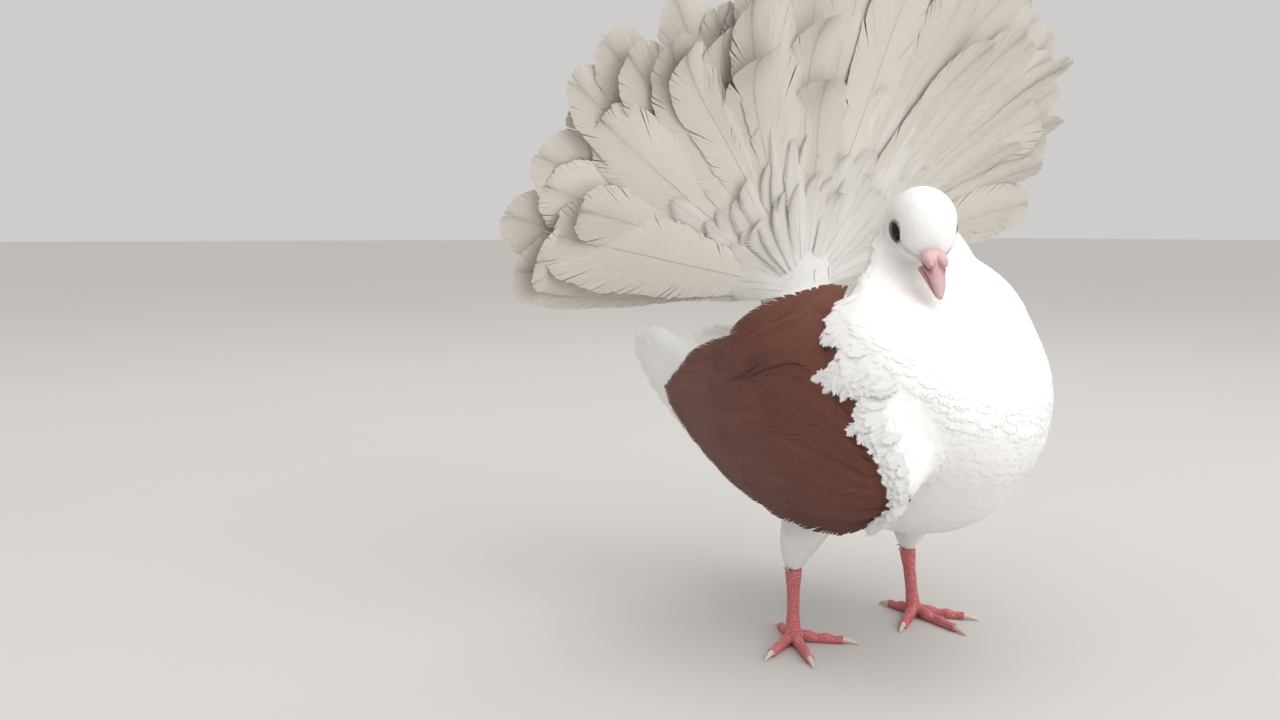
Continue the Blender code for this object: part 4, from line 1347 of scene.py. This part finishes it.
def wing_facing(points, across, hand):
    """Way that the wing's form faces, a little rounded across each vane."""
    by_ahead, by_up = fairing_slopes(points[..., 1], points[..., 2], 2.0)
    return unit(np.stack((np.full(by_up.shape, float(hand)), -by_ahead, -by_up + 0.1 * across), axis=-1))


def wing_painted_shade(points, hand):
    """Shading painted darker towards the lower edge, and at one place high on the shield."""
    ahead, up = points[..., 1], points[..., 2]
    rim = np.clip(1 - (up - curve(WING_BOTTOM, ahead)[..., 0]) / RIM_HEIGHT, 0, 1) ** 1.5 * RIM_PAINTED_SHADE
    spot = bump_at(ahead, SPOT[0] - WING_TUCK[hand], SPOT_WIDE[0]) * bump_at(up, SPOT[1], SPOT_WIDE[1])
    return np.clip(rim + SPOT_PAINTED_SHADE * spot, 0, 1)


def add_shafts(coat, place, number, width, height, places, tone, facing, hand=1, start=0.02):
    """Raised shaft down the middle of every vane; place(across, along, height) gives its points."""
    along = np.linspace(start, 0.96, 14)[None, None, :, None] * np.ones((number, 2, 1, 2))
    taper = 1.05 - along
    across = width * taper * np.array((0.0, 1.0)) * np.array((-1, 1))[None, :, None, None]
    lift = height * taper * np.array((1.0, 0.0))
    across[:, 1] = across[:, 1, :, ::-1]
    lift[:, 1] = lift[:, 1, :, ::-1].copy()
    points = place(across, along, lift)
    # Shafts on the wing take the same painted shading as its vanes
    shade = wing_painted_shade(points, hand) if facing is wing_facing else 0.0
    coat.add(points, facing(points, across * 4, hand), places(across, along), tone, 0.0, along, shade)


def make_wing(hand, side_name, looks):
    barbs = barbs_of(34, 3, 0.2, WING_OUTLINE, base_angle=48)
    shield = Coat("wing_" + side_name + "_shield")
    for order, (count, low, high, root, tip, half, depth) in enumerate(WING_TIERS):
        nominal = np.linspace(low, high, count)
        roots = root + random.normal(0, 0.008, count)
        tips = tip + random.normal(0, 0.014, count)
        halves = half * random.uniform(0.95, 1.1, count)
        deep = depth + random.normal(0, 0.06, count)

        def laid(across, along, lift):
            ahead = wing_ahead(per(roots) + per(tips - roots) * along, np.clip(per(nominal), 0, 1), hand)
            up = wing_up(ahead, per(nominal) + across * per(halves))
            ahead = np.minimum(ahead, drape_end(up, hand) + 2)
            sink = 2.2 * np.clip(1 - along / 0.3, 0, 1) + 0.3 * across**2 + WING_TILT * across
            under = np.clip((ahead - drape_end(up, hand)) / 9 + 1, 0, 1)
            sink = sink + VANE_SINK * under**2 * (3 - 2 * under)
            return fairing_points(ahead, up, per(deep) + sink - lift, hand)

        def spread(across, along):
            return strip_places(per(np.arange(count)), count, across, along) * (1, 0.24) + (0, 0.25 * order)

        across, along, height, share = varied(barbs, count, 5, 0.006, 0.003, 0.05, 0.03)
        tone = per(random.normal(0, 0.06, count))
        points = laid(across, along, height)
        facing = wing_facing(points, across, hand)
        # Vanes of the shield with shading painted towards the lower edge and high on it
        shield.add(points, facing, spread(across, along), tone, share, along, wing_painted_shade(points, hand))
        add_shafts(shield, laid, count, 0.022, 0.1, spread, -0.05, wing_facing, hand, start=0.12)
    shield.build(looks["brown"], "brown_wing", "wing_" + side_name)

    flight = Coat("wing_" + side_name + "_primaries")
    nominal, reach = np.array(PRIMARY_FAN).T
    nominal = np.radians(nominal)
    reach = reach + random.normal(0, 1.2, PRIMARIES)

    def primary(across, along, lift):
        radius = PRIMARY_START + per(reach - PRIMARY_START) * along
        angle = per(nominal) + across * PRIMARY_HALF / radius
        ahead = PRIMARY_CENTRE[0] - radius * np.cos(angle)
        up = PRIMARY_CENTRE[1] + radius * np.sin(angle)
        deep = PRIMARY_DEPTH + PRIMARY_TILT * across + 0.5 * across**2
        return fairing_points(ahead, up, deep - lift, hand)

    def spread(across, along):
        return strip_places(per(np.arange(PRIMARIES)), PRIMARIES, across, along)

    barbs = barbs_of(46, 3, 0.09, WING_OUTLINE, base_angle=40)
    across, along, height, share = varied(barbs, PRIMARIES, 6, 0.004, 0.002, 0.05, 0.03)
    points = primary(across, along, height)
    tone = per(random.normal(0, 0.04, PRIMARIES))
    flight.add(points, wing_facing(points, across, hand), spread(across, along), tone, share, along)
    add_shafts(flight, primary, PRIMARIES, 0.05, 0.3, spread, 0.1, wing_facing, hand)
    flight.build(looks["white"], "white_plumage", "wing_" + side_name)


# Tail

# Tiers of the fan from the rear: counts right and left of its gap, share of the reach, half width, how proud,
# how unruly
TAIL_TIERS = [(12, 7, 1.0, 14.6, -2.2, 1.0), (9, 6, 0.975, 15.8, 0.2, 1.2), (6, 4, 0.90, 16.5, 2.4, 1.7)]
FAN_REACH = [
    (-92, 161), (-80, 164), (-66, 165), (-55, 169), (-46, 163), (-38, 148), (-30, 162), (0, 168),
    (30, 173), (44, 177), (53, 176), (64, 167), (76, 160),
]
FAN_GAP = (2, 17)
# Feathers of their own: turn, reach, half width, bend, curl, how proud, twist
LOOSE_TAIL = [
    (-52, 160, 12, 7, 12, 3.0, 2), (-46, 154, 12, -7, 15, 3.4, -2), (-40, 134, 13, 8, 18, 3.8, 2),
    (-33, 150, 12, -7, 12, 3.2, -2), (-24, 132, 12, 7, 14, 3.8, 2), (-14, 104, 13, -9, 10, 4.6, 3),
    (-72, 146, 12.5, -6, 8, 3.0, -2), (26, 138, 12, 7, 9, 3.4, -2), (37, 155, 11, -7, 9, 3.0, 2),
    (46, 177, 5.5, 6, 6, 2.4, 3), (51, 176, 5, -6, 8, 1.6, -3), (56, 170, 5.5, 5, 7, 2.6, 3),
    (62, 156, 9, 7, 9, 3.4, -2),
]
# Coverts at the fan's foot, three rows in front and two behind: count, reach, half width, how proud
TAIL_COVERTS = [(24, 92, 7.5, 3.0), (26, 74, 7, 3.8), (26, 56, 6.5, 4.8), (15, 84, 10.5, -3.8), (14, 56, 9.5, -5.2)]


def lay_fan(coat, turn, reach, half, bend, curl, level, twist, swell, barbs, row, rows, wild):
    """Feathers of the fan, each by its own turn, reach and shape."""
    across_axis, rise, front = fan_axes()
    count = len(turn)
    axis = per(rise * np.cos(turn)[:, None] + across_axis * np.sin(turn)[:, None])
    wide = per(across_axis * np.cos(turn)[:, None] - rise * np.sin(turn)[:, None])

    def laid(across, along, lift):
        radius = 5 + per(reach - 5) * along
        aside = across * per(half) + per(bend) * along**2
        out = (
            per(level) + FAN_DISH * (radius / FAN_RADIUS) ** 2 + per(twist) * across * along
            + per(curl) * np.clip(along - 0.72, 0, 1) ** 2 * 8 + per(swell) * np.sin(math.pi * along)
            - 1.3 * across**2 * along + lift
        )
        radius = radius - np.abs(per(curl)) * np.clip(along - 0.8, 0, 1) ** 2 * 10
        return FAN_ROOT + axis * radius[..., None] + wide * aside[..., None] + front * out[..., None]

    def facing(points, across, hand):
        slope = 1 / np.linalg.norm(points - FAN_ROOT, axis=-1, keepdims=True)
        return front + wide * (across * 0.16)[..., None] + (points - FAN_ROOT) * slope * 0.03

    def spread(across, along):
        return strip_places(per(np.arange(count)), count, across, along) * (1, 0.96 / rows) + (0, row / rows)

    across, along, height, share = varied(barbs, count, 9, 0.004 * wild, 0.0012, 0.03, 0.012 * wild)
    points = laid(across, along, height)
    coat.add(points, facing(points, across, 1), spread(across, along), per(random.normal(0, 0.05, count)), share, along)
    add_shafts(coat, laid, count, 0.03, 0.25, spread, 0.05, facing)


def add_tier(coat, turn, share, half, proud, barbs, row, rows, wild, reach=None, uneven=0.014):
    """Feathers of one tier, each a little different."""
    count = len(turn)
    spacing = (turn[-1] - turn[0]) / (count - 1)
    turn = turn + random.normal(0, 0.07 * wild * spacing, count)
    if reach is None:
        reach = curve([(math.radians(a), b) for a, b in FAN_REACH], turn)[:, 0]
    lay_fan(
        coat, turn, reach * share * random.normal(1, uneven * wild, count), half * random.uniform(0.92, 1.08, count),
        random.normal(0, 2.2 * wild, count), random.normal(1.5, 4.5 * wild, count),
        proud + random.normal(0, 0.35 * wild, count), random.normal(0, 1.6 * wild, count) + 1.3 * np.sign(turn),
        random.normal(0, 1.0 * wild, count), barbs, row, rows, wild,
    )


def make_tail(looks):
    barbs = barbs_of(64, 4, 0.088, TAIL_OUTLINE, base_angle=42, fray=0.2)
    fan = Coat("tail_fan")
    rows = len(TAIL_TIERS) + 1
    for row, (right, left, share, half, proud, wild) in enumerate(TAIL_TIERS):
        inset = math.radians(2 * row)
        low, high = (math.radians(turn) for turn in FAN_GAP)
        turn = np.concatenate((
            np.linspace(FAN_RIGHT + inset, low, right), np.linspace(high, FAN_LEFT - inset, left)
        ))
        add_tier(fan, turn, share, half, proud, barbs, row, rows, wild)
    turn, reach, half, bend, curl, level, twist = np.array(LOOSE_TAIL, dtype=float).T
    swell = np.zeros(len(turn))
    lay_fan(fan, np.radians(turn), reach, half, bend, curl, level, twist, swell, barbs, rows - 1, rows, 1.6)
    # Fan in a creamy tint greyed with painted shading
    fan.build(looks["cream"], "cream_tail", "tail")
    short = barbs_of(30, 3, 0.1, COVERT_OUTLINE, base_angle=36, fray=0.6)
    coverts = Coat("tail_coverts")
    rows = len(TAIL_COVERTS)
    for row, (count, reach, half, proud) in enumerate(TAIL_COVERTS):
        turn = np.linspace(FAN_RIGHT, FAN_LEFT, count)
        add_tier(coverts, turn, 1.0, half, proud, short, row, rows, 0.7, np.full(count, float(reach)), 0.09)
    coverts.build(looks["pale"], "cream_tail", "tail")


# Eyes, bill, feet

# Lid from the eyeball outwards: radius, height over the ball, height over the skin, share of the skin's height
LID_PROFILE = [
    (3.8, -0.35, 0, 0), (3.86, 0.03, 0, 0), (3.92, 0.16, 0, 0), (4.03, 0.24, 0.2, 0.15), (4.16, 0.22, 0.26, 0.45),
    (4.32, 0.15, 0.24, 0.8), (4.55, 0, 0.14, 1), (4.85, 0, -0.05, 1), (5.3, 0, -0.5, 1),
]
LID_SIDES = 96


def make_eye(hand, side_name, looks):
    """Flattened eyeball, and the thin bare ring of the lids between it and the skin."""
    centre, along, top, out = eye_seat(hand, skin_tree)
    seat = Matrix.Translation(centre - out * EYE_SUNK * MM) @ Matrix((along, top, out)).transposed().to_4x4()
    form = bmesh.new()
    bmesh.ops.create_uvsphere(form, u_segments=64, v_segments=40, radius=EYE_RADIUS * MM)
    for vertex in form.verts:
        vertex.co.z *= EYE_FLAT
    mesh = bpy.data.meshes.new("eye_" + side_name)
    form.to_mesh(mesh)
    form.free()
    eye = linked_mesh("eyeball_" + side_name, mesh)
    eye.matrix_world = seat
    dress(eye, looks["eye"], "eye", "eye_" + side_name)

    turns = circle(LID_SIDES)
    around = []
    for turn in turns:
        start = seat @ Vector((LID_ACROSS * MM * math.cos(turn), LID_ACROSS * MM * math.sin(turn), 8 * MM))
        hit = skin_tree.ray_cast(start, -out, 0.012)[0]
        around.append(8 - (start - hit).length / MM if hit else EYE_SUNK)
    around = np.array(around)
    around = sum(np.roll(around, shift) for shift in range(-6, 7)) / 13
    rings = []
    for i, (radius, over_ball, over_skin, share) in enumerate(LID_PROFILE):
        ruffled = radius * (1 + 0.008 * np.sin(turns * 9 + i) + 0.006 * np.sin(turns * 17 + 2 * i))
        corner = 1 + 0.08 * np.maximum(np.cos(turns), 0) ** 8 + 0.04 * np.maximum(-np.cos(turns), 0) ** 8
        x = ruffled * corner * np.cos(turns)
        y = ruffled * 0.97 * np.sin(turns)
        flat = np.clip(1 - (np.hypot(x, y) / EYE_RADIUS) ** 2, 0.04, 1)
        ball = EYE_RADIUS * EYE_FLAT * np.sqrt(flat) + over_ball
        height = ball * (1 - share) + (around + over_skin) * share
        height = height + 0.035 * np.sin(turns * 23 + i * 1.7) * (0 < i < 7)
        rings.append(np.stack((x, y, height), axis=1))
    mesh = bpy.data.meshes.new("lid_" + side_name)
    points = [tuple(point * MM) for point in np.concatenate(rings)]
    mesh.from_pydata(points, [], tube_faces(len(rings), LID_SIDES).tolist())
    lid = linked_mesh("lid_" + side_name, mesh)
    set_layer(mesh, "inner", np.repeat(np.linspace(1, 0, len(rings)) ** 0.8, LID_SIDES))
    subdivide = lid.modifiers.new("fine", "SUBSURF")
    subdivide.levels = 1
    subdivide.render_levels = 1
    lid.matrix_world = seat
    dress(lid, looks["lid"], "white_plumage", "head")


def make_bill(looks):
    """Both halves, from the frame's own forms, made smooth."""
    for name in ("bill_upper", "bill_lower"):
        node = frame["nodes"][name]
        piece = node.copy()
        piece.data = node.data.copy()
        piece.parent = None
        piece.name = name + "_horn"
        bpy.context.scene.collection.objects.link(piece)
        piece.matrix_world = node.matrix_world
        remesh(piece, 0.24)
        set_coordinates(piece, averaged(coordinates(piece), edges_of(piece), 5))
        place = into_head(bird(coordinates(piece)))
        place = (place - BILL_ROOT) * BILL_SCALE + BILL_ROOT
        set_coordinates(piece, world(head_points(place)))
        ahead, up, side = place.T
        side = np.abs(side)
        share = (ahead - BILL_START) / BILL_LENGTH
        # Shading painted at the nostril under the cere's swelling, and along the gape between the halves
        slit_painted_shade = bump_at(up, *SLIT[:2]) * bump_at(ahead, BILL_START + SLIT[2], SLIT[3]) * np.clip(side - 1.2, 0, 1)
        gape = bump_at(up, -5.5 - share * 4, 0.35) * np.clip(side - 0.8, 0, 1) * 0.5
        set_layer(piece.data, "tip", np.clip(share * 2 - 1, 0, 1))
        set_layer(piece.data, "slit_painted_shade", np.maximum(slit_painted_shade, gape))
        powder = bump_at(ahead, BILL_START + POWDER[0], POWDER[1]) * np.clip(up + 3.2, 0, 1) * 0.55
        set_layer(piece.data, "powder", powder)
        dress(piece, looks["bill"], "bill_horn", name)


def toe_rings(start, direction, length, joints, rows, sides):
    """Rings of a toe with scutes above, pads below and swollen joints."""
    across = np.array((-direction[1], direction[0], 0))
    turns = circle(sides)
    rings = []
    for t in np.linspace(0, 1, rows):
        along = length * t
        radius = TOE_RADIUS * (1.1 - 0.40 * t) * (1 + 0.09 * math.cos(2 * math.pi * joints * t))
        scute = 0.5 + 0.5 * abs(math.sin(math.pi * along / 1.35)) ** 0.35
        pad = abs(math.sin(math.pi * joints * t))
        lift = radius * 0.86 + 1.4 * max(0, 1 - t / 0.35)
        upper = np.clip(np.sin(turns), 0, 1)
        lower = np.clip(-np.sin(turns), 0, 1)
        around = radius * (0.93 + 0.10 * scute * upper**0.5 + 0.07 * pad * lower)
        centre = start + direction * along + np.array((0, 0, lift))
        ring = centre + across * (around * np.cos(turns))[:, None]
        ring[:, 2] += around * np.sin(turns)
        ring[:, 2] = np.maximum(ring[:, 2], 0.02)
        rings.append(ring)
    return np.array(rings)


def make_foot(hand, side_name, looks):
    root = np.array((hand * FOOT_ROOT[0], FOOT_ROOT[1], 0))
    ankle = np.array((hand * ANKLE[0], ANKLE[1], ANKLE[2] + 1.5))
    turns = circle(36)
    rings = []
    for t in np.linspace(0, 1, 90):
        radius = np.interp(t, *SHANK)
        centre = ankle + (root + np.array((0, 0, 1.2)) - ankle) * t
        front = np.clip(np.sin(turns), 0, 1)
        scute = abs(math.sin(math.pi * t * 28 / 1.9)) ** 0.35
        around = radius * (0.95 + 0.08 * scute * front**0.5)
        rings.append(centre + np.stack((around * np.cos(turns), around * np.sin(turns), 0 * turns), axis=1))
    parts = [tube("tarsus", rings)]
    for toe, length in TOES.items():
        turn = math.radians(TOE_TURNS[hand][toe])
        direction = np.array((hand * math.sin(turn), math.cos(turn), 0))
        joints = 2 if toe == "hind" else 3
        parts.append(tube(toe, toe_rings(root, direction, length + 0.5, joints, int(length * 5), 28)))
        claw = []
        for t in np.linspace(0, 1, 26):
            radius = 1.25 * (1 - t) ** 0.7 + 0.16
            up = 1.75 + 1.5 * t * (1 - t) - 1.45 * t
            centre = root + direction * (length + 0.1 + CLAW_LENGTH * t) + np.array((0, 0, max(up, radius)))
            across = np.array((-direction[1], direction[0], 0))
            spin = circle(18)[:, None]
            claw.append(centre + across * radius * 0.85 * np.cos(spin) + np.array((0, 0, 1)) * radius * np.sin(spin))
        piece = tube("claw_horn_" + side_name + "_" + toe, claw)
        dress(piece, looks["claw"], "claw_horn", "claw_" + side_name + "_" + toe)
    foot = join("foot_scales_" + side_name, parts)
    remesh(foot, 0.32)
    points = averaged(coordinates(foot), edges_of(foot), 1)
    points[:, 2] = np.maximum(points[:, 2], 0)
    set_coordinates(foot, points)
    dress(foot, looks["foot"], "foot_skin", "foot_" + side_name)


# The bird is put together

# Clump, split, stray, proud and reach of the plumes' and the tufts' barbs
PLUME_RUFFLE = (3, 0.015, 0.015, 0.002, 0.06)
TUFT_RUFFLE = (3, 0.03, 0.015, 0.006, 0.12)
TUFT_HALF = 2.1
TUFT_BULGE = 0.5
# Parts of the coat: above and ahead of these lies the neck, ahead of that the breast; no plumes further back on
# the wing than this share of its length, nor further up the fan than this
NECK_FROM = (128, -12)
BREAST_FROM = 18
WING_BARE = 0.46
FAN_BARE = 20

looks = make_looks()
skin, fields = make_skin()
brown = averaged(on_shield(fields["spots"], fields["kinds"]).astype(float)[:, None], edges_of(skin), 1)[:, 0]
set_layer(skin.data, "brown", brown)
skin_tree = tree_of(skin)
dress(skin, looks["skin"], "white_plumage", "torso", "neck", "head", "thigh_left", "thigh_right")

skin_corners = np.array([tuple(face.vertices)[:3] for face in skin.data.polygons])
skin_facing = unit(fields["normals"][skin_corners].mean(axis=1))
body_plan = barbs_of(7, 2, 0.42, BODY_OUTLINE)
face_plan = barbs_of(5, 2, 0.40, BODY_OUTLINE)
roots = spare_eyes(scatter(skin, fields, DENSITY), skin_tree)
spots = roots["spots"]
roots["kinds"][((spots - FAN_ROOT) @ fan_axes()[1] > FAN_BARE) & (spots[:, 1] < -20)] = HIDDEN
roots["kinds"][(roots["kinds"] == WING) & (wing_along(spots) > WING_BARE)] = HIDDEN
is_brown = on_shield(spots + roots["lies"] * roots["lengths"][:, None] * 0.7, roots["kinds"])
shoulder = roots["kinds"] == WING
body = roots["kinds"] == BODY
neck = body & (spots[:, 2] > NECK_FROM[0]) & (spots[:, 1] > NECK_FROM[1])
breast = body & ~neck & (spots[:, 1] > BREAST_FROM)
back = body & ~neck & ~breast
upward = roots["normals"][:, 2] > 0
# Name, roots, plan of the barbs, half width, cup, lift, softness
for name, mask, plan, width, cup, lift, softness in (
    ("head", roots["kinds"] == FACE, face_plan, 0.42, 0.03, 0.045, 0.93),
    ("neck", neck, body_plan, 0.42, 0.03, 0.018, 0.94),
    ("breast", breast, body_plan, 0.42, 0.03, 0.017, 0.94),
    ("back", back & upward, body_plan, 0.42, 0.03, 0.035, 0.9),
    ("belly", back & ~upward, body_plan, 0.42, 0.03, 0.035, 0.9),
    ("thighs", roots["kinds"] == LEG, body_plan, 0.26, 0.3, 0.035, 0.92),
    ("shoulders", shoulder & ~is_brown, body_plan, 0.42, 0.03, 0.016, 0.95),
    ("shield", shoulder & is_brown, body_plan, 0.42, 0.03, 0.03, 0.85),
):
    coat = Coat("plumage_" + name, softness)
    add_plumes(coat, picked(roots, mask), plan, skin_tree, width, cup, lift, PLUME_RUFFLE)
    if name == "shield":
        coat.build(looks["brown"], "brown_wing")
    else:
        coat.build(looks["white"], "white_plumage")

tuft_plan = barbs_of(11, 3, 0.3, BODY_OUTLINE, fray=0.8)
tufts = Coat("plumage_tufts", 0.94)
for hand in (-1, 1):
    add_tufts(tufts, *boundary_tufts(hand, skin_tree), TUFT_HALF, tuft_plan, TUFT_RUFFLE, TUFT_BULGE)
tufts.build(looks["white"], "white_plumage")

make_tail(looks)
for hand, side_name in ((-1, "right"), (1, "left")):
    make_wing(hand, side_name, looks)
    make_eye(hand, side_name, looks)
    make_foot(hand, side_name, looks)
make_bill(looks)
make_camera()
make_studio()
